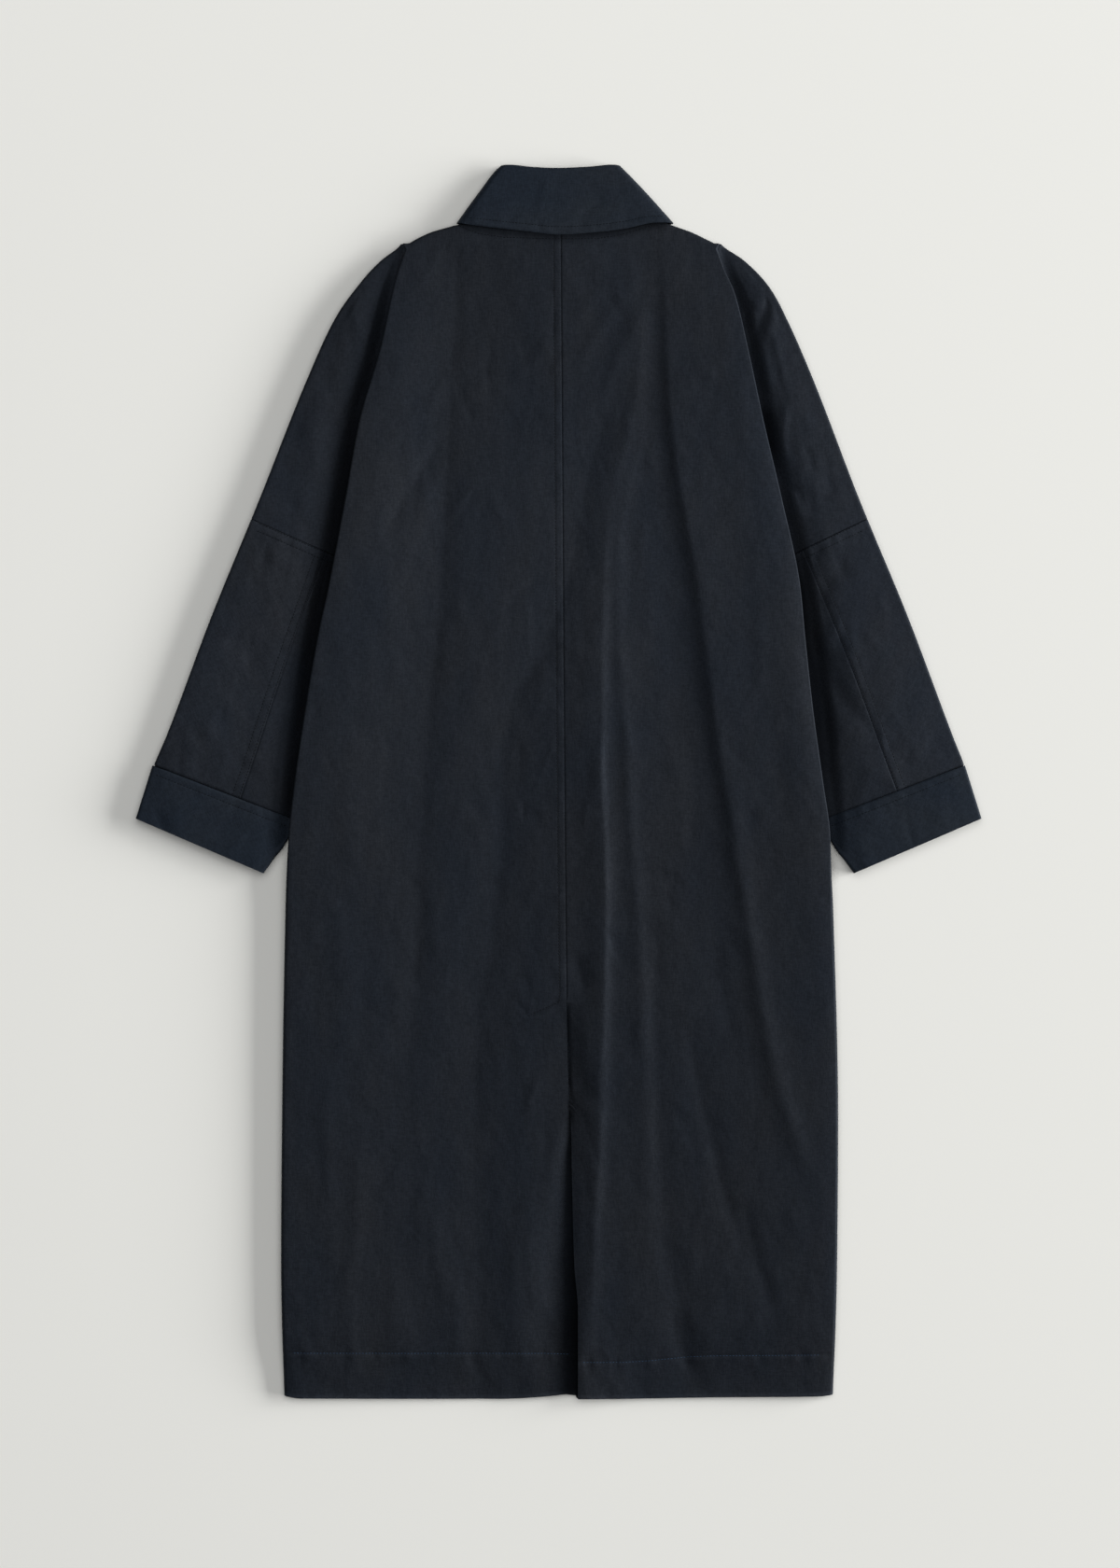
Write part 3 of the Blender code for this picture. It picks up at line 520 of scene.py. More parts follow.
def back_height(side, out, y):
    """The back's height: low in the middle, up to the lip at the side, with folds, creases and seams."""
    x = side.sign * out
    inside = side.lip(y) - out
    share = ease((out / side.lip(y) - BACK_RISE_START) / BACK_RISE_SHARE)
    base = middle_height(y) + (lip_high(y) - middle_height(y)) * share
    base = base - side.droop(y) * np.clip(1.0 - inside / DROOP_REACH, 0.0, 1.0) ** 2
    clear = ease((inside - FOLD_STOP) / FOLD_RAMP)
    folds = clear * (long_folds(x, y) + crease_lines(BACK_CREASES, x, y))
    fine = ease(inside / FINE_RAMP)
    off = out - side.sign * seam_x(y)
    relief = centre_relief(side, off, y) + fine * hem_relief(x, y)
    wide = vent_left_width(y) if side.name == "left" else VENT_DIP_WIDTH
    dip = side.vent_dip(y) * ease(1.0 - off / wide)
    if side.name == "right":
        crevice = CREVICE * bell(off - CREVICE_OFF, CREVICE_REACH) * ease((y - VENT_CROSS_Y) / CREVICE_RAMP)
        dip = dip + side.vent_dip(y) * crevice
    settled = hem_sink(y) * ease((off - HEM_SINK_CLEAR) / HEM_SINK_RAMP)
    return base + folds + fine * crease_lines(BACK_CRUMPLE, x, y) + relief - dip - settled


print("the back settles at its hem by", float(hem_sink(HEM_Y)), "mm")

# %% The section of the lip
Lip = namedtuple("Lip", "start high roll turn_back angle straight")


def roll_start(side, y, radius, angle):
    """How far out the back begins to roll, so that its outside just reaches the lip."""
    return side.lip(y) - CLOTH / 2 - radius * np.sin(np.minimum(angle, math.pi / 2))


def lip_section(side, y):
    """The full, round section of the lip: where its roll starts, its two radii, turn and straight layer."""
    high, low, arm = lip_high(y) - side.droop(y) - hem_sink(y), lip_low(y), lip_arm(y)
    angle = np.radians(lip_turn(y))
    straight = lip_straight(y)
    radii = (high - arm - straight * np.sin(angle)) / (1.0 - np.cos(angle))
    roll = radii * (high - low) / (high - arm)
    return Lip(roll_start(side, y, roll, angle), high, roll, radii - roll, angle, straight)


print("lip at the waist:", [round(float(v), 2) for v in lip_section(SIDES[0], 0.0)])

# %% Rows over the back, round the lip and under it
NEAR_SEAM = (0.0, 0.4, 0.8, 1.3, 2.0, 3.4, 4.9, 5.8, 6.4, 7.0, 7.6, 8.2, 9.2, 12.0)
VENT_HEAD_OUT = 46.0
VENT_HEAD_COLUMNS = 30
TOP_COLUMNS = 60
ROLL_COLUMNS = 10
RETURN_COLUMNS = 8
TURN_COLUMNS = 6
RETURN_CLEAR = 8.0
RETURN_RAMP = 20.0
RETURN_DROP = 0.45
TIGHT_ROLL = table("y radius", ((-60, 0.95), (-130, 3.2)))


def steps(count):
    """A row of shares up to 1, without 0."""
    return np.linspace(0.0, 1.0, count + 1)[None, 1:]


def half_back_rows(side):
    """Grids of the back with its lip and return, and of the inner turn beside the arm."""
    y = LEVELS[:, None]
    lip = lip_section(side, y)
    tight = np.minimum(lip.roll, curve(TIGHT_ROLL, "y", "radius")(y))
    start = roll_start(side, y, tight, lip.angle)
    edge = side.sign * seam_x(y) + side.vent(y)
    head = np.linspace(NEAR_SEAM[-1], VENT_HEAD_OUT, VENT_HEAD_COLUMNS + 1)[1:]
    near = edge + np.concatenate([NEAR_SEAM, head])[None, :]
    out = np.concatenate([near, near[:, -1:] + (start - near[:, -1:]) * steps(TOP_COLUMNS)], axis=1)
    row_y = lifted(y, side.neck(out))
    row_y[:, -1:] = y
    top = side.points(out, row_y, back_height(side, out, row_y))
    top[:, -1, 2] = lip.high[:, 0]

    heading = lip.angle * steps(ROLL_COLUMNS)
    roll_out = start + tight * np.sin(heading)
    roll_z = lip.high - tight * (1.0 - np.cos(heading))

    share = steps(RETURN_COLUMNS)
    full_out = lip.start + lip.roll * np.sin(lip.angle)
    full_z = lip.high - lip.roll * (1.0 - np.cos(lip.angle))
    back_out = full_out + share * lip.straight * np.cos(lip.angle)
    back_out = back_out + (1.0 - share) * (roll_out[:, -1:] - full_out)
    back_z = full_z - share * lip.straight * np.sin(lip.angle)
    back_z = back_z + (1.0 - ease(share / RETURN_DROP)) * (roll_z[:, -1:] - full_z)
    room = np.maximum(side.sleeve_inner(y) - RETURN_CLEAR - back_out[:, -1:], RETURN_RAMP)
    down = 1.0 - ease((back_out - back_out[:, -1:]) / room)
    back_z = back_z - np.where(y < ARM_SEAM_Y, down * (lip_low(y) - lip_end(y)), 0.0)

    turn = lip.angle * np.linspace(1.0, 0.0, TURN_COLUMNS + 1)[None, 1:]
    turn_out = back_out[:, -1:] + lip.turn_back * (np.sin(lip.angle) - np.sin(turn))
    turn_z = back_z[:, -1:] - lip.turn_back * (np.cos(turn) - np.cos(lip.angle))
    inner = side.points(turn_out, y, turn_z)[:ARM_LEVELS]
    top = np.concatenate([top, side.points(roll_out, y, roll_z), side.points(back_out, y, back_z)], axis=1)
    return top, np.concatenate([top[:ARM_LEVELS, -1:], inner], axis=1)


print("columns at the centre seam:", len(NEAR_SEAM), "over the lip:", ROLL_COLUMNS)

# %% [markdown]
# ## The arm and the roll that closes it
# From the inner turn each row goes out to the edge of the arm. The arm is low where it runs in under the lip
# and rises outside it, which is why its inner strip looks dark: it faces away from the light, and painted shade
# darkens it further. Its outer edge falls a little, and that edge and the shoulder are not cut there. The cloth
# folds over and under to the front, so a squarish half round closes them.

# %% The height of the arm
WALL_SHARE = 0.62
WALL_REACH = 12.0
ARM_SINK = 1.6
ARM_SINK_UNDER = 24.0
ARM_SINK_RAMP = 20.0
SINK_LEAST_LAYER = 2.6
SINK_LAYER_RAMP = 1.6
CREASE_RAMP = 8.0
EDGE_FALL = {"left": 2.4, "right": 3.4}
EDGE_FALL_REACH = 54.0
ARM_CREASES = table(CREASE, (
    (204, 518, 176, 505, 2, 3.2, 0.8), (199, 489, 186, 470, 1, 3.4, -2.4),
    (214, 499, 195, 447, -3, 4.2, -2.2), (223, 494, 205, 444, -3, 5, 1.5), (206, 452, 217, 394, 2, 9, 1.5),
    (214, 466, 227, 398, -3, 5, 1), (222, 432, 229, 392, 2, 3.2, -0.9), (231, 392, 230, 322, 2, 4, 1.7),
    (247, 346, 258, 315, -2, 3.2, -0.9), (236, 308, 247, 262, 2, 9, 1.4), (233, 306, 248, 282, -2, 3.6, -1.4),
    (256, 304, 262, 268, 3, 4, -0.9), (300, 250, 262, 232, 3, 7, 0.8), (296, 226, 258, 196, -3, 8, -1),
    (330, 150, 290, 118, 4, 9, 0.9), (266, 150, 300, 60, 5, 8, -1.6), (276, 120, 330, 40, 6, 9, -1.5),
    (288, 176, 262, 130, -3, 7, 1.4), (300, 20, 352, -10, -3, 9, 0.9), (-210, 500, -196, 440, 3, 10, 0.9),
    (-240, 440, -222, 380, 4, 11, -0.9), (-262, 380, -240, 300, -4, 12, 0.9),
    (-288, 300, -262, 276, 2, 8, -0.8), (-296, 240, -262, 210, 3, 8, 0.8),
    (-340, 150, -296, 120, -4, 10, -0.9), (-368, 70, -320, 30, 4, 10, 0.9), (-330, 30, -286, -8, 3, 9, -0.9),
))
ARM_CRUMPLE = (
    crumples(seed=23, low=(-430, -100), high=(-150, 540), count=520)
    + crumples(seed=29, low=(150, -100), high=(430, 540), count=520)
    + crumples(seed=41, low=(180, 250), high=(310, 510), count=170)
)


def arm_layer(y):
    """The height at which the arm runs in under the lip."""
    return lip_arm(np.maximum(y, ARM_SEAM_Y))


def plain_arm(side, out, y):
    """The arm's height without its creases."""
    from_lip = out - side.lip(y)
    past_slot = from_lip - side.slot(y)
    rise = WALL_SHARE * ease(past_slot / WALL_REACH) + (1.0 - WALL_SHARE) * ease(past_slot / side.arm_rise(y))
    sink = ARM_SINK * ease((from_lip + ARM_SINK_UNDER) / ARM_SINK_RAMP)
    sink = sink * ease((arm_layer(y) - SINK_LEAST_LAYER) / SINK_LAYER_RAMP)
    near_edge = np.clip(1.0 - (side.outline(y) - out) / EDGE_FALL_REACH, 0.0, 1.0) ** 2
    return arm_layer(y) - sink + (arm_top(y) - arm_layer(y) + sink) * rise - EDGE_FALL[side.name] * near_edge


def arm_height(side, out, y, calm=1.0):
    """The arm's height with its creases, which fade out under the lip and wherever calm falls to 0."""
    x = side.sign * out
    shown = ease((out - side.lip(y)) / CREASE_RAMP)
    creases = crease_lines(ARM_CREASES, x, y) + crease_lines(ARM_CRUMPLE, x, y)
    return plain_arm(side, out, y) + calm * shown * creases


print("arm creases:", len(ARM_CREASES), "crumples:", len(ARM_CRUMPLE))

# %% Arm rows and edge rolls
ARM_SEAM_SHARE = 0.1
ARM_SEAM_UNDER = 10.0
ARM_SEAM_RAMP = 6.0
EDGE_CALM = 0.12
EDGE_COLUMNS = 12
EDGE_SQUARE = 0.4
ARM_BLEND = 4
ARM_COLUMNS = 44
INSET_ROUNDS = 6
OUTLINE_STEP = 1.0


def roll_inset(side, place, rise=0.0, low=FLOOR_LAYER, wall=CLOTH):
    """How far inside its outline a layer ends, to leave room for the roll that closes it."""
    return (plain_arm(side, *place) + rise - low) / 2 + wall / 2


def way_out(side, y):
    """The way out of the coat, in plan, square to its outline at height y."""
    slope = (side.outline(y + OUTLINE_STEP) - side.outline(y - OUTLINE_STEP)) / (2 * OUTLINE_STEP)
    return np.stack([np.ones_like(slope), -slope], axis=-1) / np.hypot(1.0, slope)[..., None]


def outline_inset(side, y):
    """The arm's edge at outline height y, drawn in by the radius of the roll that closes it."""
    way = way_out(side, y)
    place = np.array([side.outline(y), y])
    inset = CLOTH
    for _ in range(INSET_ROUNDS):
        inset = roll_inset(side, place - way * inset)
    return place - way * inset


def arm_rows(side, starts):
    """Rows of the arm from the inner turn out to its edge."""
    share = np.linspace(0.0, 1.0, ARM_COLUMNS + 1)
    calm = ease((1 - share) / EDGE_CALM)
    last = SLEEVE[0].outer_y
    rows = []
    for start, y in zip(starts, LEVELS):
        end = outline_inset(side, last + (y - ARM_SEAM_Y) * (ARM_HEAD_Y - last) / (SHOULDER_Y - ARM_SEAM_Y))
        out = start[0] * side.sign * (1 - share) + end[0] * share
        row_y = start[1] * (1 - share) + end[1] * share
        height = arm_height(side, out, row_y, calm)
        height = height + (start[2] - height[0]) * (1 - share) ** ARM_BLEND
        shown = calm * ease((out - side.lip(row_y) + ARM_SEAM_UNDER) / ARM_SEAM_RAMP)
        rows.append(side.points(out, row_y, height - shown * ARM_SEAM_SHARE * seam_dip(y - ARM_SEAM_Y)))
    return np.array(rows)


def edge_roll(top, outward, low=FLOOR_LAYER):
    """A squarish half round that takes the edge of a layer out, down and under to the surface."""
    radius = (top[:, 2] - low) / 2
    angle = np.linspace(math.pi / 2, -math.pi / 2, EDGE_COLUMNS + 1)
    reach = np.abs(np.cos(angle)) ** EDGE_SQUARE
    reach[[0, -1]] = 0.0
    rise = np.sign(np.sin(angle)) * np.abs(np.sin(angle)) ** EDGE_SQUARE
    rolled = np.repeat(top[:, None, :], EDGE_COLUMNS + 1, axis=1)
    rolled[:, :, :2] += outward[:, None, :] * (radius[:, None] * reach)[:, :, None]
    rolled[:, :, 2] = low + radius[:, None] * (1.0 + rise)
    return rolled


print("the roll at the cuff draws the edge in to", outline_inset(SIDES[1], SLEEVE[-1].outer_y).round(1))

# %% [markdown]
# ## Turning up the hem
# The real hem is folded to the inside and sewn down, so its edge is a soft fold and not a raw cut. The last
# rows of the grid are moved down to the measured hem edge, then carried on round a tiny half circle and back
# up as a second ply just under the first.

# %% Hem
HEM_PLY = 1.7
HEM_TURN = 5
HEM_RAMP = 60.0
HEM_DEPTH = 40.0
OUTLINE_LEAD = 4.0
SKIRT_START = {"left": 86.0, "right": 101.0}
SKIRT_TOP_Y = 560.0
Half = namedtuple("Half", "top inner arms skirt path")


def to_hem(grid):
    """Moves the lowest rows of a grid to the measured edge of the hem."""
    low = ease((HEM_Y + HEM_RAMP - grid[..., 1]) / HEM_RAMP)
    grid[..., 1] += low * (hem_edge(grid[..., 0]) - HEM_Y)
    return grid


def turned_up(grid):
    """Rows that carry the hem round its fold and back up inside."""
    across = np.gradient(grid, axis=1)
    inward = np.stack([across[..., 2], np.zeros(grid.shape[:2]), -across[..., 0]], axis=-1)
    inward /= np.linalg.norm(inward, axis=-1, keepdims=True)
    inward *= np.sign(-inward[0, 0, 2])
    rows = [grid[-1]]
    for angle in np.linspace(0.0, math.pi, HEM_TURN + 1)[1:]:
        row = grid[-1] + inward[-1] * HEM_PLY / 2 * (1.0 - math.cos(angle))
        row[:, 1] -= HEM_PLY / 2 * math.sin(angle)
        rows.append(row)
    above = [i for i in range(len(grid) - 2, 0, -1) if LEVELS[i] < HEM_Y + HEM_DEPTH]
    return np.array(rows + [grid[i] + inward[i] * HEM_PLY for i in above])


def half_back(side):
    """All grids of a half back, and the path of its shoulder and arm edge."""
    top, inner = half_back_rows(side)
    arms = arm_rows(side, inner[:, -1])
    top = to_hem(top)
    shoulder = top[0][side.sign * top[0][:, 0] >= SKIRT_START[side.name]]
    path = np.concatenate([shoulder, inner[0][1:-1], arms[0], arms[1:, -1]])
    ways = way_out(side, np.minimum(path[:, 1] + OUTLINE_LEAD, SKIRT_TOP_Y)) * [side.sign, 1.0]
    return Half(top, inner, arms, edge_roll(path, ways), path)


halves = {side.name: half_back(side) for side in SIDES}
print("grid of a half back:", halves["left"].top.shape, "arm:", halves["left"].arms.shape)

# %% [markdown]
# ## Cloth: from grids to a thin shell
# The grids of one piece share edge points. Welding those gives one sheet, and Blender's Solidify gives the
# sheet the thickness of the cloth, half to each side. It is applied at once, because the sheet is measured
# later. Edges sharper than 50 degrees are marked sharp, so the cut rim stays crisp while the folds stay
# smooth.

# %% Sewing grids into cloth
WELD = 0.01
SHARP = math.radians(50)
pieces = {}
areas = {}


def add(name, data):
    """A new object in the scene that shows the data."""
    made = bpy.data.objects.new(name, data)
    bpy.context.scene.collection.objects.link(made)
    return made


def cloth(node, grids, wall=CLOTH):
    """Makes a closed shell of cloth about the surface that the grids describe, in the place of a solid."""
    surface = bmesh.new()
    for grid in grids:
        corners = [[surface.verts.new(point) for point in row] for row in grid * MM]
        for upper, lower in zip(corners[:-1], corners[1:]):
            for i in range(len(upper) - 1):
                surface.faces.new((upper[i], upper[i + 1], lower[i + 1], lower[i]))
    bmesh.ops.remove_doubles(surface, verts=surface.verts, dist=WELD * MM)
    bmesh.ops.recalc_face_normals(surface, faces=surface.faces)
    areas[node] = sum(face.calc_area() for face in surface.faces)
    name = "oilskin_" + node
    mesh = bpy.data.meshes.new(name)
    surface.to_mesh(mesh)
    surface.free()
    piece = pieces[node] = add(name, mesh)
    solidify = piece.modifiers.new("wall", "SOLIDIFY")
    solidify.thickness = wall * MM
    solidify.offset = 0.0
    bpy.context.view_layer.update()
    shell = bpy.data.meshes.new_from_object(piece.evaluated_get(bpy.context.evaluated_depsgraph_get()))
    piece.modifiers.clear()
    piece.data = shell
    bpy.data.meshes.remove(mesh)
    shell.name = name
    shell.shade_smooth()
    shell.set_sharp_from_angle(angle=SHARP)
    print(name, "faces", len(shell.polygons), "area", round(areas[node], 4), "m2")


# %% The two halves of the back
for side in SIDES:
    half = halves[side.name]
    cloth("back_" + side.name, [half.top, turned_up(half.top), half.inner, half.arms, half.skirt])

# %% [markdown]
# ## The fronts
# The fronts lie flat on the floor under the back and hardly show: from the side you see their edge along the
# hem and under the shoulders. They are made plainly, from the same levels with wider steps, and the left
# front laps over the right one at the middle. Their tops follow the collar, so its edges are measured here.

# %% Fronts
FRONT_LAP = 30.0
FRONT_LAP_CLEAR = 3.0
FRONT_LAP_RAMP = 16.0
FRONT_SIDE_RAMP = 60.0
FRONT_TOP_GAP = 2.2
FRONT_COLUMNS = 24
FRONT_ARM_COLUMNS = 10
FRONT_EVERY = 3
HIDDEN_GAP = 0.6
COLLAR = table("station left right", (
    (0, 104, 117), (0.6, 79, 86), (0.95, 63.5, 66.5), (1, 60, 63.5),
))
COLLAR_EDGE = table("across back front stand", (
    (-1, 568.8, 568.8, 571), (-0.85, 567, 568.6, 571), (-0.6, 564.4, 551, 571), (-0.3, 561.4, 538.5, 568),
    (0, 558.4, 531, 566), (0.4, 561.2, 541.5, 568), (0.6, 564.4, 551, 571), (0.85, 569.4, 568.6, 571),
    (1, 568.8, 568.8, 571),
))
collar_back, collar_front, collar_stand = (
    curve(COLLAR_EDGE, "across", name) for name in ("back", "front", "stand")
)


def front(side):
    """A front, flat on the floor under its half back."""
    half = halves[side.name]
    tip = getattr(COLLAR[0], side.name)

    def front_top(out):
        shoulder = np.interp(out, side.sign * half.path[:, 0], half.path[:, 1])
        return np.minimum(collar_front(side.sign * out / tip), shoulder) - FRONT_TOP_GAP

    lap_end = FRONT_LAP + FRONT_LAP_CLEAR
    wanted = sorted(set(range(0, len(LEVELS), FRONT_EVERY)) | {ARM_LEVELS - 1, len(LEVELS) - 1})
    body, arm = [], []
    for i in wanted:
        y = LEVELS[i]
        beside_arm = i < ARM_LEVELS
        end = side.sign * half.inner[i, -1, 0] if beside_arm else side.sign * half.top[i, -1, 0] - SEAM_GAP
        out = np.concatenate([
            [-FRONT_LAP, 0.0, lap_end], np.linspace(lap_end + FRONT_LAP_RAMP, end, FRONT_COLUMNS + 1),
        ])
        height = np.full(len(out), FLOOR_LAYER)
        if side.name == "left":
            height += (CLOTH + SEAM_GAP) * ease(1.0 - (out - lap_end) / FRONT_LAP_RAMP)
        if not beside_arm:
            height += (lip_end(y) - FLOOR_LAYER) * ease(1.0 - (end - out) / FRONT_SIDE_RAMP)
        body.append(side.points(out, lifted(y, front_top(out)), height))
        if beside_arm:
            share = np.linspace(0.0, 1.0, FRONT_ARM_COLUMNS + 1)[:, None]
            last = half.arms[i, -1].copy()
            way = last[:2] - body[-1][-1, :2]
            last[:2] -= way / np.linalg.norm(way) * HIDDEN_GAP
            row = body[-1][-1] * (1 - share) + last * share
            if i == 0:
                row[:, 1] = front_top(side.sign * row[:, 0])
            row[:, 2] = FLOOR_LAYER
            arm.append(row)
    return [to_hem(np.array(body)), np.array(arm)]


for side in SIDES:
    cloth("front_" + side.name, front(side))

# %% [markdown]
# ## The lower sleeves
# Below the dropped shoulder seam each sleeve has two pieces on its back, joined by the elbow seam, and one on
# its front. A station runs from 0 at the shoulder seam to 1 at the cuff. The seams get the same relief as the
# centre seam: a lifted band on the outer side of the elbow seam, and below the shoulder seam, each with two
# rows of stitches. The ends of the sleeve are tucked down into the cuff.

# %% Lines across a sleeve
SLEEVE_STEP = 3.6
SLEEVE_INSETS = (1.6, 8.6)
SLEEVE_CALM = 0.08
CLOSE_GROOVE = 0.6
CLOSE_GROOVE_REACH = 0.9
NEAR_EDGE = (0.0, 0.5, 1.0, 1.6, 2.4, 4.2, 6.4, 7.4, 8.0, 8.6, 9.2, 10.0, 11.5, 14.0)


def way_in(outer, inner):
    """The way across a sleeve from its outer edge to its inner one."""
    return (inner - outer) / np.linalg.norm(inner - outer)


def across(outer, inner, share):
    """Places part of the way across a sleeve: how far out they are, and their y."""
    return outer[0] + (inner[0] - outer[0]) * share, outer[1] + (inner[1] - outer[1]) * share


def calm_ends(share):
    """Falls to 0 at both edges of a sleeve, where the rolls begin."""
    return ease(share / SLEEVE_CALM) * ease((1 - share) / SLEEVE_CALM)


def sleeve_line(side, station):
    """The two edges of the sleeve's back at a station, drawn in by the rolls that close them."""
    outer = outline_inset(side, curve(SLEEVE, "station", "outer_y")(station))
    edge = np.array([curve(SLEEVE, "station", name)(station) for name in ("inner_" + side.name, "inner_y")])
    way = way_in(outer, edge)
    return outer, edge - way * roll_inset(side, edge), way


def twin_band(off, along, start, dip):
    """Relief of a seam with two rows of stitches beside it."""
    close, wide = SLEEVE_INSETS
    close_groove = CLOSE_GROOVE * SEAM_GROOVE * bell(off - close, CLOSE_GROOVE_REACH)
    return sewn_band(off, along, wide, start, dip) - close_groove


def spaced(length):
    """Distances along a seam's neighbourhood: close steps at the seam, then even ones."""
    even = math.ceil((length - NEAR_EDGE[-1]) / SLEEVE_STEP) + 1
    return np.concatenate([NEAR_EDGE[:-1], np.linspace(NEAR_EDGE[-1], length, even)])


print("steps down from a seam:", len(spaced(SLEEVE_LENGTH)), "over", SLEEVE_LENGTH, "mm")

# %% Sleeves
SLEEVE_EVEN_FROM = 18.0
OUTER_WIDEST = 190.0
UNDER_WIDEST = 85.0
SLEEVE_FRONT_POINTS = 14
SHOULDER_BAND = 0.8
ELBOW_DIP = {"left": 0.5, "right": 1.0}
TUCK = (0.6, 1.4, 4.0)
TUCK_DROP = 2.2
CUFF_DIP_SHARE = 0.5
CUFF_WAY = np.array([0.36, -0.93])


def sleeve(side):
    """Grids of the sleeve's outer back, under back and front."""
    end = SLEEVE_LENGTH - SEAM_GAP
    down = np.concatenate([
        [HIDDEN_GAP], NEAR_EDGE[1:], stretch(SLEEVE_EVEN_FROM, end - SLEEVE_STEP, SLEEVE_STEP),
        end - np.array([*SEAM_ROWS, 0.0]), end + np.array(TUCK),
    ])
    outer_share = 1.0 - spaced(OUTER_WIDEST)[::-1] / OUTER_WIDEST
    under_share = spaced(UNDER_WIDEST) / UNDER_WIDEST
    outer_rows, under_rows, front_rows, ways, outer_ways = [], [], [], [], []
    for far in down:
        outer, inner, way = sleeve_line(side, min(far / SLEEVE_LENGTH, 1.0))
        past = max(far - SLEEVE_LENGTH, 0.0)
        outer = outer + past * CUFF_WAY + way * past
        inner = inner + past * CUFF_WAY - way * past
        width = np.linalg.norm(inner - outer)
        split = side.elbow(far / SLEEVE_LENGTH)
        gap = SEAM_GAP / 2 / width
        cuff_dip = CUFF_DIP_SHARE * seam_dip(np.maximum(end - far, 0.0))
        cuff_dip = cuff_dip + (TUCK_DROP - CUFF_DIP_SHARE * SEAM_DIP) * ease((far - end) / TUCK[1])

        def row(first, last, share):
            share = first + (last - first) * share
            out, y = across(outer, inner, share)
            shoulder = twin_band(far, share * width, PUCKER_STARTS["arm"] + side.sign, ARM_SEAM_SHARE)
            height = arm_height(side, out, y, calm_ends(share)) + calm_ends(share) * SHOULDER_BAND * shoulder
            return side.points(out, y, height - cuff_dip), share

        outer_row, share = row(0.0, split - gap, outer_share)
        elbow = twin_band((split - share) * width, far, PUCKER_STARTS["elbow"] + side.sign, LIT_DIP)
        outer_row[:, 2] += calm_ends(share) * elbow
        outer_rows.append(outer_row)
        under_row, _ = row(split + gap, 1.0, under_share)
        under_row[:, 2] -= ELBOW_DIP[side.name] * seam_dip(under_share * (1.0 - split) * width)
        under_rows.append(under_row)
        share = np.linspace(HIDDEN_GAP / width, 1.0 - HIDDEN_GAP / width, SLEEVE_FRONT_POINTS)
        front_rows.append(side.points(*across(outer, inner, share), FLOOR_LAYER))
        ways.append((side.sign * way[0], way[1]))
        outer_ways.append(way_out(side, outer[1] + OUTLINE_LEAD) * [side.sign, 1.0])
    outer_rows, under_rows = np.array(outer_rows), np.array(under_rows)
    return {
        "outer": [outer_rows, edge_roll(outer_rows[:, 0], np.array(outer_ways))],
        "under": [under_rows, edge_roll(under_rows[:, -1], np.array(ways))],
        "front": [np.array(front_rows)],
    }


for side in SIDES:
    for part, grids in sleeve(side).items():
        cloth(f"sleeve_{part}_{side.name}", grids)

# %% [markdown]
# ## The cuffs
# A cuff is a deep band of double cloth round the end of the sleeve, so it is made of closed rings. Its seam
# stands a little proud of the sleeve, with a row of stitches below it that puckers the band.

# %% Cuffs
CUFF_CLOTH = 2.0
CUFF_STEP = 0.5
CUFF_ROWS = 26
CUFF_COLUMNS = 110
CUFF_UNDER_POINTS = 16
CUFF_INSET = 7.6
CUFF_BAND = 0.8
CUFF_WIDTH = 150.0
CUFF = table("station outer_out outer_y inner_out inner_y", (
    (0, 412.5, 18.2, 263, -39.4), (1, 429.4, -35.6, 300.2, -91),
))
CUFF_DEPTH = math.hypot(CUFF[1].outer_out - CUFF[0].outer_out, CUFF[1].outer_y - CUFF[0].outer_y)


def cuff_line(station):
    """The two edges of the cuff at a station, from 0 at its seam to 1 at its mouth."""
    places = [curve(CUFF, "station", name)(station) for name in CUFF[0]._fields[1:]]
    return np.array(places[:2]), np.array(places[2:])


def cuff(side):
    """Closed rings of the cuff from its seam to its mouth."""
    low = CUFF_CLOTH / 2
    rise = (CUFF_CLOTH - CLOTH) / 2 + CUFF_STEP
    near = np.array(NEAR_EDGE) / CUFF_DEPTH
    share = np.linspace(1.0, 0.0, CUFF_COLUMNS + 1)
    rings = []
    for station in np.concatenate([near, np.linspace(near[-1], 1.0, CUFF_ROWS - len(near) + 1)[1:]]):
        outer, inner = cuff_line(station)
        way = way_in(outer, inner)
        outer = outer + way * roll_inset(side, outer, rise, low, CUFF_CLOTH)
        inner = inner - way * roll_inset(side, inner, rise, low, CUFF_CLOTH)
        out, y = across(outer, inner, share)
        start = PUCKER_STARTS["cuff"] + side.sign
        band = CUFF_BAND * sewn_band(station * CUFF_DEPTH, share * CUFF_WIDTH, CUFF_INSET, start)
        calm = calm_ends(share)
        top = side.points(out, y, arm_height(side, out, y, calm) + rise + calm * band)
        flat_way = np.array([[side.sign * way[0], way[1]]])
        outer_roll = edge_roll(top[-1:], -flat_way, low)[0]
        inner_roll = edge_roll(top[:1], flat_way, low)[0]
        under = np.linspace(0.0, 1.0, CUFF_UNDER_POINTS)[:, None]
        bottom = outer_roll[-1] + (inner_roll[-1] - outer_roll[-1]) * under
        rings.append(np.concatenate([top, outer_roll[1:], bottom[1:], inner_roll[::-1][1:]]))
    return [np.array(rings)]


for side in SIDES:
    cloth("cuff_" + side.name, cuff(side), CUFF_CLOTH)

# %% [markdown]
# ## The collar
# The collar is one strip that goes up as the stand, folds, and comes down as the fall. Its rings are open at
# the centre front, under the coat. Only the fall shows: a crisp fold at the top, sides that slope out to two
# points, and a lower edge with one row of stitches, which sags a little between the points.

# %% The collar's edges
COLLAR_SAG = 1.6


def collar_across(x, left=COLLAR[0].left, right=COLLAR[0].right):
    """Places across the collar, from -1 at its left edge to 1 at its right one."""
    return np.where(x < 0, x / left, x / right)


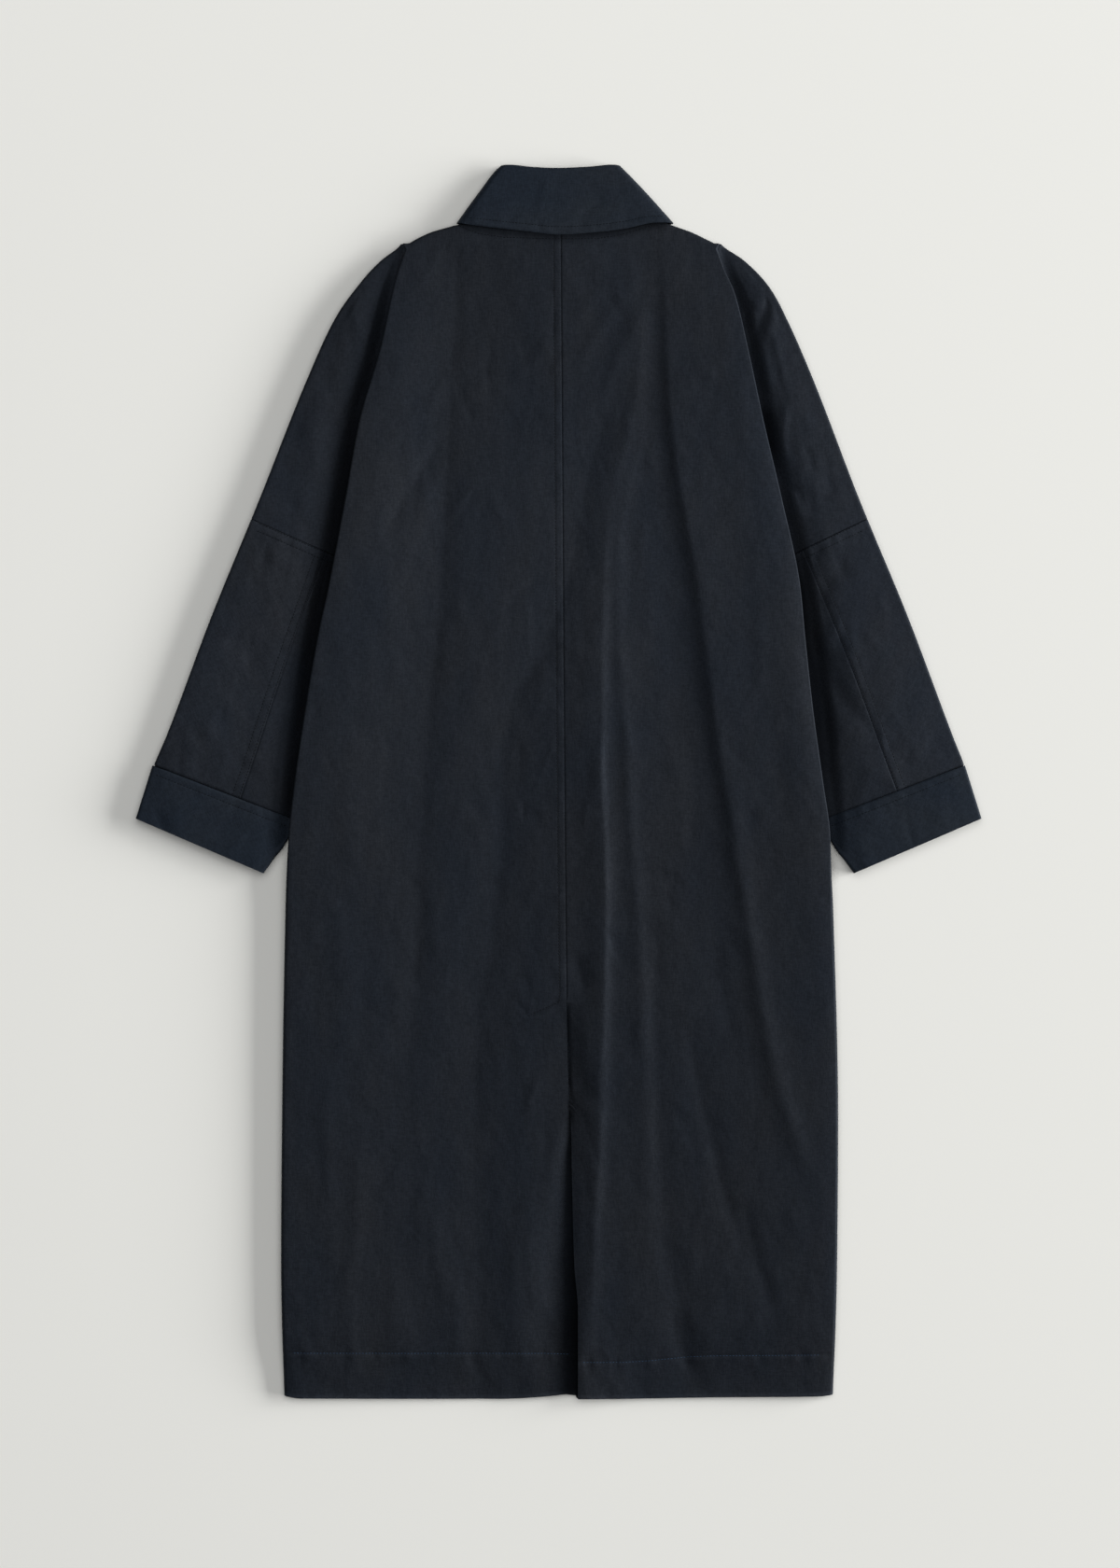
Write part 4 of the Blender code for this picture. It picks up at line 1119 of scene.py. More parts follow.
def collar_hang(at):
    """The lower edge of the fall on the coat's back, at places across it."""
    return collar_back(at) - COLLAR_SAG * np.maximum(1.0 - at**2, 0.0)


def fall_edge(at, lift):
    """The lower edge of the fall all round: lift is 0 under the coat's front and 1 on its back."""
    return collar_front(at) + (collar_hang(at) - collar_front(at)) * ease(lift)


def stand_edge(at, _):
    """The seam that joins the stand to the neck."""
    return collar_stand(at)


print("the fall hangs down to", round(float(collar_hang(0.0)), 1), "at the middle")

# %% Collar
COLLAR_FOLD_Y = 626.0
COLLAR_PLY_STEP = 2.0
COLLAR_SIDE_STEP = 5.5
COLLAR_HIGH_EDGE = 16.4
COLLAR_HIGH_FOLD = 11.5
COLLAR_FRONT_GAP = 6.0
COLLAR_BACK_COLUMNS = 72
COLLAR_FRONT_COLUMNS = 16
COLLAR_SIDE_COLUMNS = 10
COLLAR_FALL_ROWS = 16
COLLAR_FOLD_ROWS = 8
COLLAR_STAND_ROWS = 14
COLLAR_DEPTH = 66.0
COLLAR_INSET = 7.4
COLLAR_BAND = 0.7
COLLAR_LIFT = 0.6
COLLAR_LIFT_END = 0.5
COLLAR_LIFT_RAMP = 0.25
COLLAR_TOP_SHARE = 0.9
COLLAR_CALM = 8.0
COLLAR_TOP = table("x rise", (
    (-62, 0.4), (-50, 0.8), (-26, -1.4), (-2, -2.4), (32, -1), (54, 0.9), (64, 0.4),
))
COLLAR_CRUMPLE = crumples(seed=37, low=(-110, 560), high=(120, 626), count=46)


def collar_ring(station, step, edge_of, shown):
    """One ring of the collar, open at the centre front.  step is how far it lies inside the fall."""
    inset = CLOTH / 2 + step * COLLAR_SIDE_STEP / COLLAR_PLY_STEP
    left, right = (curve(COLLAR, "station", name)(station) - inset for name in ("left", "right"))
    high = COLLAR_HIGH_EDGE + (COLLAR_HIGH_FOLD - COLLAR_HIGH_EDGE) * station - step
    low = FLOOR_LAYER + step
    radius = (high - low) / 2
    turn_left, turn_right = -left + radius, right - radius
    angle = np.linspace(-math.pi / 2, math.pi / 2, COLLAR_SIDE_COLUMNS + 1)[1:-1]
    front_left = np.linspace(-COLLAR_FRONT_GAP / 2, turn_left, COLLAR_FRONT_COLUMNS + 1)
    front_right = np.linspace(turn_right, COLLAR_FRONT_GAP / 2, COLLAR_FRONT_COLUMNS + 1)
    back = np.linspace(turn_left, turn_right, COLLAR_BACK_COLUMNS + 1)
    bulge = radius * np.cos(angle)
    x = np.concatenate([front_left, turn_left - bulge, back, turn_right + bulge, front_right])
    z = np.concatenate([
        np.full(len(front_left), low), low + radius * (1.0 + np.sin(angle)), np.full(len(back), high),
        low + radius * (1.0 - np.sin(angle)), np.full(len(front_right), low),
    ])
    lift = (z - low) / (high - low)
    edge = edge_of(collar_across(x, left, right), lift)
    y = edge + (COLLAR_FOLD_Y + curve(COLLAR_TOP, "x", "rise")(x) - edge) * station
    if shown:
        on_top = ease((lift - COLLAR_TOP_SHARE) / (1.0 - COLLAR_TOP_SHARE))
        on_top = on_top * ease((x - turn_left) / COLLAR_CALM) * ease((turn_right - x) / COLLAR_CALM)
        band = COLLAR_BAND * sewn_band(station * COLLAR_DEPTH, x, COLLAR_INSET, PUCKER_STARTS["collar"])
        lifted_edge = COLLAR_LIFT * ease((COLLAR_LIFT_END - station) / COLLAR_LIFT_RAMP)
        z = z + on_top * (band + crease_lines(COLLAR_CRUMPLE, x, y) + lifted_edge)
    return np.stack([x, y, z], axis=-1)


def collar():
    """The collar: up the fall, over the fold and down the stand."""
    near = np.array(NEAR_EDGE) / COLLAR_DEPTH
    stations = np.concatenate([near, np.linspace(near[-1], 1.0, COLLAR_FALL_ROWS)[1:]])
    rings = [collar_ring(station, 0.0, fall_edge, True) for station in stations]
    radius = COLLAR_PLY_STEP / 2
    for angle in np.linspace(0.0, math.pi, COLLAR_FOLD_ROWS)[1:-1]:
        ring = collar_ring(1.0, radius * (1.0 - math.cos(angle)), fall_edge, False)
        ring[:, 1] += radius * math.sin(angle)
        rings.append(ring)
    for station in np.linspace(1.0, 0.0, COLLAR_STAND_ROWS):
        rings.append(collar_ring(station, COLLAR_PLY_STEP, stand_edge, False))
    return [np.array(rings)]


cloth("collar", collar())

# %% [markdown]
# ## Painted shade in folds, and cloth made paler by wear and painted light
# Where the cloth lies in a fold, its colour is darkened as painted shade and it loses most of its gloss. That
# is the strip of the arm beside the lip, the edge of the left back that has sunk into the vent, with a little
# of the right one beside it, and the back just under the collar's edge. Elsewhere the colour is made paler: in
# broad places on the back and arms, partly by wear and partly as painted light; along the thick edge below the
# shoulder seam, by wear and as painted sheen; and on the fold of the hem, as a painted highlight. Each point's
# share of both, from 0 to 1, is stored on the mesh, and the finish reads it by its name.

# %% Where painted shade goes, and where wear and painted light make the cloth paler
# Painted shade beside each lip: how strong it is and how far out it reaches, down the coat.
SHADE_BESIDE_LIP = table("y left left_reach right right_reach", (
    (510, 0, 18, 0, 10), (440, 0.5, 18, 0, 10), (388, 0.63, 18.9, 0, 18), (374, 0.67, 19.1, 0.65, 18),
    (350, 0.73, 19.5, 0.75, 14), (326, 0.79, 20, 0.5, 8), (308, 0.81, 20, 0, 8), (265, 0.85, 20, 0.1, 12),
    (190, 0.85, 20, 0.75, 16), (132, 0.8, 20, 0.65, 32), (75, 0.75, 16, 0.65, 42), (18, 0.75, 14, 0.45, 34),
    (-20, 0.7, 14, 0.1, 16), (-60, 0, 12, 0, 10), (-310, 0, 12, 0, 10),
))
# Painted shade on the left back's sunken edge in the vent.
SHADE_IN_VENT = table("y amount reach", (
    (-60, 0, 4), (-310, 0, 4), (-328, 0.8, 3.5), (-345, 0.9, 4.5), (-362, 0.85, 7), (-390, 0.8, 14),
    (-437, 0.8, 18), (-485, 0.85, 25), (-561, 0.95, 40), (HEM_Y, 0.85, 38),
))
# Where the painted shade beside the lip starts and stops.
SHADE_OUT = 2.0
SHADE_UNDER = 6.0
SHADE_BELOW = 3.0
SHADE_BELOW_RAMP = 2.0
# Painted shade on the right back beside the vent, and on the back under the collar's edge.
VENT_SHADE = 0.42
VENT_SHADE_REACH = 12.0
COLLAR_SHADE = 0.62
COLLAR_SHADE_FROM = 1.0
COLLAR_SHADE_REACH = 9.0
COLLAR_SHADE_ENDS = 0.1
# Broad places made paler, partly by wear and partly as painted light.
WEAR_AND_LIGHT_PATCHES = table("x y wide tall amount", (
    (110, 220, 120, 250, 0.4), (-105, 265, 90, 110, 0.12), (262, 330, 50, 110, 0.2), (345, 50, 80, 90, 0.38),
    (305, 190, 50, 80, 0.15), (-285, 320, 50, 130, 0.34), (-340, 130, 60, 90, 0.38), (-370, 50, 60, 60, 0.22),
))
# A painted highlight along the fold of the hem.
HEM_HIGHLIGHT_REACH = 3.0
# Paler along the edge below the shoulder seam, by wear and as painted sheen.
SEAM_WEAR_AND_SHEEN = 0.3
SEAM_WEAR_AND_SHEEN_FROM = 0.3
SEAM_WEAR_AND_SHEEN_RAMP = 1.2
SEAM_WEAR_AND_SHEEN_STEPS = table("share until ramp", ((0.4, SLEEVE_INSETS[1], 1.5), (0.6, 5.0, 2.0)))
print("rubbed places:", len(WEAR_AND_LIGHT_PATCHES))

# %% Marking the points
COUNTED = 0.1


def points_of(piece):
    """The places of a piece's points, in mm."""
    places = np.zeros(len(piece.data.vertices) * 3)
    piece.data.vertices.foreach_get("co", places)
    return places.reshape(-1, 3).T / MM


def keep(piece, name, value):
    """Stores a number for each point of a piece, under the name that the finish reads it by."""
    kept = piece.data.attributes.new(name, "FLOAT", "POINT")
    kept.data.foreach_set("value", value)
    print(piece.name, "points", name + ":", int((value > COUNTED).sum()))


def mark_wear_and_painted_light(side, piece):
    """Stores how much paler a piece is made, by wear and as painted light."""
    x, y, _ = points_of(piece)
    # A painted highlight along the fold of the hem.
    rubbed = ease((hem_edge(x) + HEM_HIGHLIGHT_REACH - y) / HEM_HIGHLIGHT_REACH)
    # Broad paler places, partly wear and partly painted light.
    for pale_patch in WEAR_AND_LIGHT_PATCHES:
        off = ((x - pale_patch.x) / pale_patch.wide) ** 2 + ((y - pale_patch.y) / pale_patch.tall) ** 2
        rubbed = rubbed + pale_patch.amount * np.exp(-off)
    # Wear and painted sheen along the edge below the shoulder seam.
    if "sleeve" in piece.name:
        outer, _, way = sleeve_line(side, 0.0)
        far = (outer[0] - side.sign * x) * way[1] + (y - outer[1]) * way[0]
        band = sum(step.share * ease((step.until - far) / step.ramp) for step in SEAM_WEAR_AND_SHEEN_STEPS)
        rubbed = rubbed + SEAM_WEAR_AND_SHEEN * band * ease((far - SEAM_WEAR_AND_SHEEN_FROM) / SEAM_WEAR_AND_SHEEN_RAMP)
    keep(piece, "rubbed", np.minimum(rubbed, 1.0))


def mark_painted_shade(side, piece):
    """Stores how much painted shade darkens a piece's points beside the lip, in the vent and under the collar's
    edge.
    """
    x, y, z = points_of(piece)
    amount, reach = (curve(SHADE_BESIDE_LIP, "y", side.name + end)(y) for end in ("", "_reach"))
    from_lip = side.sign * x - side.lip(y)
    # Painted shade in the slot beside the lip.
    beside = amount * ease(1.0 - (from_lip - SHADE_OUT) / reach) * (from_lip > -SHADE_UNDER)
    beside = beside * ease((lip_high(y) - z - SHADE_BELOW) / SHADE_BELOW_RAMP)
    # Painted shade in the vent.
    in_vent, vent_reach = (curve(SHADE_IN_VENT, "y", name)(y) for name in ("amount", "reach"))
    if side.name == "right":
        in_vent, vent_reach = VENT_SHADE * in_vent, VENT_SHADE_REACH
    in_vent = in_vent * ease(1.0 - side.sign * (x - seam_x(y)) / vent_reach)
    # Painted shade under the collar's edge.
    at = collar_across(x)
    below = (collar_hang(np.clip(at, -1.0, 1.0)) - y - COLLAR_SHADE_FROM) / COLLAR_SHADE_REACH
    under = COLLAR_SHADE * ease(1.0 - below) * ease((1.0 - np.abs(at)) / COLLAR_SHADE_ENDS)
    keep(piece, "tucked", np.maximum(np.maximum(beside, in_vent), under))


# Painted shade, and paleness from wear and painted light, on the backs and sleeves.
for side in SIDES:
    for part in ("back_", "sleeve_outer_", "sleeve_under_"):
        mark_wear_and_painted_light(side, pieces[part + side.name])
        mark_painted_shade(side, pieces[part + side.name])

# %% [markdown]
# ## Rows of stitches
# Every seam is top-stitched in dark thread, and the hem in a bluer one. A stitch is a small lens of thread.
# It is made once as an array of points and repeated along each row, and the rows on one piece are joined into
# one mesh. A ray dropped straight down finds the height and slope of the cloth under each stitch, so that the
# stitches sit in their grooves.

# %% One stitch, repeated along a line
STITCH_PITCH = 3.3
STITCH_LENGTH = 2.5
STITCH_WIDTH = 0.62
STITCH_SINK = 0.05
HEADING_STEP = 1.0
RAY_FROM = 0.05
LENS = ((-0.5, 0.0), (-0.36, 0.72), (0.0, 1.0), (0.36, 0.72), (0.5, 0.0))
LENS_SIDES = 6
threads = {}


def lens_shape():
    """Points and faces of a stitch of length 1 along X and width 1 across."""
    points, faces = [], []
    for ring, (along, wide) in enumerate(LENS):
        for i in range(LENS_SIDES):
            angle = 2 * math.pi * i / LENS_SIDES
            points.append((along, wide / 2 * math.cos(angle), wide / 2 * math.sin(angle)))
            if ring < len(LENS) - 1:
                at, j = ring * LENS_SIDES, (i + 1) % LENS_SIDES
                faces.append((at + i, at + j, at + LENS_SIDES + j, at + LENS_SIDES + i))
    return np.array(points), np.array(faces)


def along_line(points):
    """Even places along a line through points in plan, and the heading at each."""
    points = np.asarray(points, float)
    far = np.concatenate([[0.0], np.cumsum(np.linalg.norm(np.diff(points, axis=0), axis=1))])

    def place(at):
        return np.stack([np.interp(at, far, points[:, 0]), np.interp(at, far, points[:, 1])], axis=-1)

    at = np.arange(STITCH_PITCH / 2, far[-1], STITCH_PITCH)
    ahead = place(at + HEADING_STEP) - place(at - HEADING_STEP)
    return place(at), ahead / np.linalg.norm(ahead, axis=-1, keepdims=True)


def stitching(key, on, lines):
    """Makes rows of stitches along lines, laid on the pieces of cloth named."""
    graph = bpy.context.evaluated_depsgraph_get()
    trees = [BVHTree.FromObject(pieces[piece], graph) for piece in on]
    shape, shape_faces = lens_shape()
    points, faces = [], []
    for line in lines:
        for place, way in zip(*along_line(line)):
            hits = [tree.ray_cast((place[0] * MM, place[1] * MM, RAY_FROM), (0, 0, -1)) for tree in trees]
            hits = [hit for hit in hits if hit[0] is not None]
            if not hits:
                continue
            hit, normal = max(hits, key=lambda found: found[0].z)[:2]
            normal = np.array(normal) * (1.0 if normal.z > 0 else -1.0)
            ahead = np.array([way[0], way[1], 0.0])
            ahead -= normal * ahead.dot(normal)
            ahead /= np.linalg.norm(ahead)
            aside = np.cross(normal, ahead)
            turned = shape @ np.stack([ahead * STITCH_LENGTH, aside * STITCH_WIDTH, normal * STITCH_WIDTH])
            faces.append(shape_faces + len(points) * len(shape))
            points.append(np.array(hit) + (turned + normal * STITCH_SINK) * MM)
    name = "thread_" + key
    mesh = bpy.data.meshes.new(name)
    mesh.from_pydata(np.concatenate(points).tolist(), [], np.concatenate(faces).tolist())
    mesh.shade_smooth()
    threads[key] = add(name, mesh)
    print(name, "stitches", len(points))


# %% Where the rows run
LINE_STEP = 6.0
CENTRE_STITCHES_TOP = 548.0
NECK_STITCHES = (
    (-104, 567), (-81, 558), (-54, 554), (-3, 552.4), (40, 552.8), (62, 556.4), (82, 562), (98, 567),
)
VENT_STITCHES = ((1.4, -221.5), (-30.4, -236.0))
HEM_STITCHES = ((-270.0, 14.0), (24.0, 270.0))
ELBOW_STITCHES = np.linspace(0.03, 0.995, 40)
SHOULDER_STITCHES = np.linspace(0.02, 0.75, 20)
CUFF_STITCHES_IN = np.array([6.0, 2.0])
COLLAR_STITCHES = np.linspace(-97.0, 109.0, 60)
COLLAR_STITCHES_IN = 0.965


def centre_points():
    """Points beside the centre seam, on the left of it."""
    y = np.arange(CENTRE_STITCHES_TOP, VENT_TOP_Y, -LINE_STEP)
    return np.stack([seam_x(y) - STITCH_INSET, y], axis=-1)


def hem_points(first, last):
    """Points along the line of the hem."""
    x = np.arange(first, last, LINE_STEP)
    return np.stack([x, hem_line(x)], axis=-1)


def elbow_points(side, inset):
    """Points down a sleeve, beside its elbow seam."""
    found = []
    for station in ELBOW_STITCHES:
        outer, inner, way = sleeve_line(side, station)
        found.append((outer + (inner - outer) * side.elbow(station) - way * inset) * [side.sign, 1.0])
    return found


def shoulder_points(side, inset):
    """Points across a sleeve, beside its shoulder seam."""
    outer, inner, _ = sleeve_line(side, inset / SLEEVE_LENGTH)
    return [(outer + (inner - outer) * share) * [side.sign, 1.0] for share in SHOULDER_STITCHES]


def cuff_points(side):
    """The two ends of the row on a cuff."""
    outer, inner = cuff_line(CUFF_INSET / CUFF_DEPTH)
    return [(outer - CUFF_STITCHES_IN) * [side.sign, 1.0], (inner + CUFF_STITCHES_IN) * [side.sign, 1.0]]


def collar_points():
    """Points along the lower edge of the collar's fall."""
    hang = collar_hang(collar_across(COLLAR_STITCHES))
    y = hang + (COLLAR_FOLD_Y - hang) * COLLAR_INSET / COLLAR_DEPTH
    return np.stack([COLLAR_STITCHES * COLLAR_STITCHES_IN, y], axis=-1)


backs = ["back_left", "back_right"]
stitching("back", backs, [centre_points(), VENT_STITCHES, NECK_STITCHES])
stitching("hem", backs, [hem_points(*ends) for ends in HEM_STITCHES])
for side in SIDES:
    rows = [points(side, inset) for points in (elbow_points, shoulder_points) for inset in SLEEVE_INSETS]
    stitching("sleeve_" + side.name, ["sleeve_outer_" + side.name, "sleeve_under_" + side.name], rows)
    stitching("cuff_" + side.name, ["cuff_" + side.name], [cuff_points(side)])
stitching("collar", ["collar"], [collar_points()])

# %% [markdown]
# ## The oilskin's finish
# Waxed cotton is a very dark navy. What you see of it is mostly a dull gloss off the wax, so folds show as
# soft light and not as colour. Three sizes of noise build the finish: broad patches where the wax has worn
# grey or stayed blue, a fine handling crumple, and the grain of the weave. The grain is turned to run along
# each piece, and the collar and cuffs are a little bluer. Cloth marked with painted shade is darker and has
# hardly any gloss, and cloth marked with wear and painted light is paler. Numbers that are the same all over
# go straight into the shader's sockets.

# %% A helper that builds a finish node by node
class Finish:
    """A material, and the nodes that lead to its shader."""

    def __init__(self, name):
        self.material = bpy.data.materials.new(name)
        self.material.use_nodes = True
        self.tree = self.material.node_tree
        self.shader = self.tree.nodes["Principled BSDF"]

    def put(self, node, **values):
        """Fills sockets of a node, each with a plain value or by a link from an output."""
        for name, value in values.items():
            socket = node.inputs[name.replace("_", " ")]
            if isinstance(value, bpy.types.NodeSocket):
                self.tree.links.new(value, socket)
            else:
                socket.default_value = value

    def node(self, kind, output, **values):
        """Adds a node, fills its sockets and returns one of its outputs."""
        made = self.tree.nodes.new("ShaderNode" + kind)
        self.put(made, **values)
        return made.outputs[output]

    def attribute(self, name):
        """The number stored under a name for each point."""
        output = self.node("Attribute", "Fac")
        output.node.attribute_name = name
        return output

    def maths(self, operation, first, second):
        """Two numbers added or multiplied."""
        output = self.node("Math", "Value")
        output.node.operation = operation
        self.tree.links.new(first, output.node.inputs[0])
        self.tree.links.new(second, output.node.inputs[1])
        return output

    def spread(self, value, low, high, start=0.0, end=1.0):
        """A number that runs from low to high while value runs from start to end."""
        ends = {"From_Min": start, "From_Max": end, "To_Min": low, "To_Max": high}
        return self.node("MapRange", "Result", Value=value, **ends)

    def colours(self, value, first, last, start=0.0, end=1.0):
        """A colour that runs from first to last while value runs from start to end."""
        output = self.node("ValToRGB", "Color", Fac=value)
        for stop, place, colour in zip(output.node.color_ramp.elements, (start, end), (first, last)):
            stop.position, stop.color = place, colour
        return output


# %% Material of the cloth
NAVY = (0.0088, 0.0108, 0.0148, 1.0)
WORN = (0.0117, 0.0130, 0.0159, 1.0)
BLUER = (0.0088, 0.0125, 0.0188, 1.0)
BLUER_WORN = (0.0128, 0.0158, 0.0205, 1.0)
WORN_FROM, WORN_TO = 0.36, 0.66
NOISES = table("scale detail rough pull", (
    (13.0, 5.0, 0.62, (1.0, 0.45, 1.0)), (46.0, 4.0, 0.42, (1.0, 0.6, 1.0)),
    (620.0, 2.0, 0.5, (1.0, 0.3, 1.0)), (620.0, 2.0, 0.5, (0.3, 1.0, 1.0)),
))
GLOSS_TINT = (0.62, 0.76, 1.0, 1.0)
# Gloss all over; painted shade darkens the colour and leaves little gloss; wear and painted light make it
# paler.
GLOSS, PAINTED_SHADE_GLOSS = 0.10, 0.01
PAINTED_SHADE_DARK = 0.12
WEAR_AND_LIGHT_PALE = 1.9
YARN_SHADES = {"low": 0.80, "high": 1.20, "start": 0.75, "end": 1.25}
DULLNESS = {"low": 0.50, "high": 0.62, "start": 0.3, "end": 0.7}
BUMP = 0.6
WEAVE_BUMP = 0.0002
HANDLING_BUMP = 0.0024
ARM_TURN = 22.0


def oilskin(name, turn=0.0, navy=NAVY, worn=WORN):
    """Waxed cotton with its grain turned by so many degrees."""
    finish = Finish(name)
    place = finish.node("TexCoord", "Object")
    grain = finish.node("Mapping", "Vector", Vector=place, Rotation=(0.0, 0.0, math.radians(turn)))

    def noise(scale, detail, rough, pull):
        pulled = finish.node("Mapping", "Vector", Vector=grain, Scale=pull)
        return finish.node("TexNoise", "Fac", Vector=pulled, Scale=scale, Detail=detail, Roughness=rough)

    patches, handling, warp, weft = (noise(*kind) for kind in NOISES)
    weave = finish.maths("ADD", warp, weft)

    # Painted shade darkens the colour and takes away gloss.
    tucked = finish.attribute("tucked")
    darker = finish.spread(tucked, 1.0, PAINTED_SHADE_DARK)
    # Wear and painted light make the colour paler.
    paler = finish.spread(finish.attribute("rubbed"), 1.0, WEAR_AND_LIGHT_PALE)
    shade_wear_and_light = finish.maths("MULTIPLY", darker, paler)
    depth = finish.maths("MULTIPLY", finish.spread(weave, **YARN_SHADES), shade_wear_and_light)
    dyed = finish.node("VectorMath", "Vector")
    dyed.node.operation = "SCALE"
    finish.put(dyed.node, Vector=finish.colours(patches, navy, worn, WORN_FROM, WORN_TO), Scale=depth)

    fine = finish.node("Bump", "Normal", Strength=BUMP, Distance=WEAVE_BUMP, Height=weave)
    bumps = finish.node("Bump", "Normal", Strength=BUMP, Distance=HANDLING_BUMP, Height=handling, Normal=fine)
    finish.put(
        finish.shader, Base_Color=dyed, Normal=bumps, Roughness=finish.spread(handling, **DULLNESS),
        Specular_IOR_Level=finish.spread(tucked, GLOSS, PAINTED_SHADE_GLOSS), Specular_Tint=GLOSS_TINT,
    )
    return finish.material


finishes = {
    "body": oilskin("oilskin_body"),
    "left": oilskin("oilskin_sleeve_left_grain", -ARM_TURN),
    "right": oilskin("oilskin_sleeve_right_grain", ARM_TURN),
    "cuff_left": oilskin("oilskin_cuff_left_grain", 90.0 - ARM_TURN, BLUER, BLUER_WORN),
    "cuff_right": oilskin("oilskin_cuff_right_grain", 90.0 + ARM_TURN, BLUER, BLUER_WORN),
    "collar": oilskin("oilskin_collar_grain", 90.0, BLUER, BLUER_WORN),
}
print("finishes:", sorted(finishes))

# %% Material of the thread
THREAD_GLOSS = 0.12
THREAD_DULLNESS = 0.55
TWIST = 420.0


def thread_finish(name, dark, light):
    """Dull thread, with a faint twist."""
    finish = Finish(name)
    twist = finish.node("TexNoise", "Fac", Vector=finish.node("TexCoord", "Object"), Scale=TWIST)
    finish.put(
        finish.shader, Base_Color=finish.colours(twist, dark, light), Specular_IOR_Level=THREAD_GLOSS,
        Roughness=THREAD_DULLNESS,
    )
    return finish.material


navy_thread = thread_finish("navy_thread", (0.0014, 0.0022, 0.0036, 1.0), (0.0028, 0.0042, 0.0070, 1.0))
blue_thread = thread_finish("blue_thread", (0.014, 0.031, 0.062, 1.0), (0.028, 0.052, 0.096, 1.0))
print("threads:", navy_thread.name, blue_thread.name)

# %% [markdown]
# ## Fastening the pieces to the frame
# Every piece rides on the coat's one body, and every piece of cloth stands for its solid. A table gives each
# piece of cloth the size it was cut to: the rectangle that the piece is cut from and the area of the cut
# itself. Those numbers come from the solids, as volume over thickness, with the turned-up hem added to the
# backs. They are not read back from the meshes above, so a mesh whose folds had stretched the cloth would
# show up as too large in the printed share.

# %% Riding, replacing and the share of each cut
Cut = namedtuple("Cut", "width length area lies_on")
CUTS = {
    "back_left": Cut(0.53, 1.30, 0.430, ["oilskin_front_left", "oilskin_front_right"]),
    "back_right": Cut(0.53, 1.30, 0.419, ["oilskin_front_right", "oilskin_front_left"]),
    "front_left": Cut(0.36, 1.20, 0.294, ["oilskin_front_right", "floor"]),
    "front_right": Cut(0.36, 1.20, 0.297, ["floor"]),
    "sleeve_outer_left": Cut(0.15, 0.30, 0.0271, ["oilskin_sleeve_front_left"]),
    "sleeve_outer_right": Cut(0.14, 0.30, 0.0229, ["oilskin_sleeve_front_right"]),
    "sleeve_under_left": Cut(0.14, 0.29, 0.0206, ["oilskin_sleeve_front_left"]),
    "sleeve_under_right": Cut(0.14, 0.29, 0.0231, ["oilskin_sleeve_front_right"]),
    "sleeve_front_left": Cut(0.18, 0.29, 0.0402, ["floor"]),
    "sleeve_front_right": Cut(0.18, 0.29, 0.0385, ["floor"]),
    "cuff_left": Cut(0.33, 0.062, 0.0182, ["floor"]),
    "cuff_right": Cut(0.33, 0.062, 0.0182, ["floor"]),
    "collar": Cut(0.45, 0.15, 0.0458, ["oilskin_back_left", "oilskin_back_right"]),
}
for node, piece in pieces.items():
    kind = node.rsplit("_", 1)[-1] if node.startswith("sleeve") else node
    piece.data.materials.append(finishes.get(kind, finishes["body"]))
    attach(piece, "root")
    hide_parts(node)
for name, thread in threads.items():
    thread.data.materials.append(blue_thread if name == "hem" else navy_thread)
    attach(thread, "root")
for node, cut in CUTS.items():
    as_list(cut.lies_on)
    share = areas[node] / cut.area
    print(node, "cut", cut.area, "m2, modelled", round(areas[node], 4), "share", round(share, 3))

# %% [markdown]
# ## Floor, light and camera
# The floor is plain and pale. One broad, low light stands far off on the right: it draws the folds, throws
# the soft shadow on the left and leaves the floor a little brighter on its own side. It is much wider than it
# is tall, so folds that run at a slant are lit softly. A wide light overhead fills the rest without darkening
# the floor close to the coat. The camera looks straight down from far enough away that the coat's edges stay
# upright.

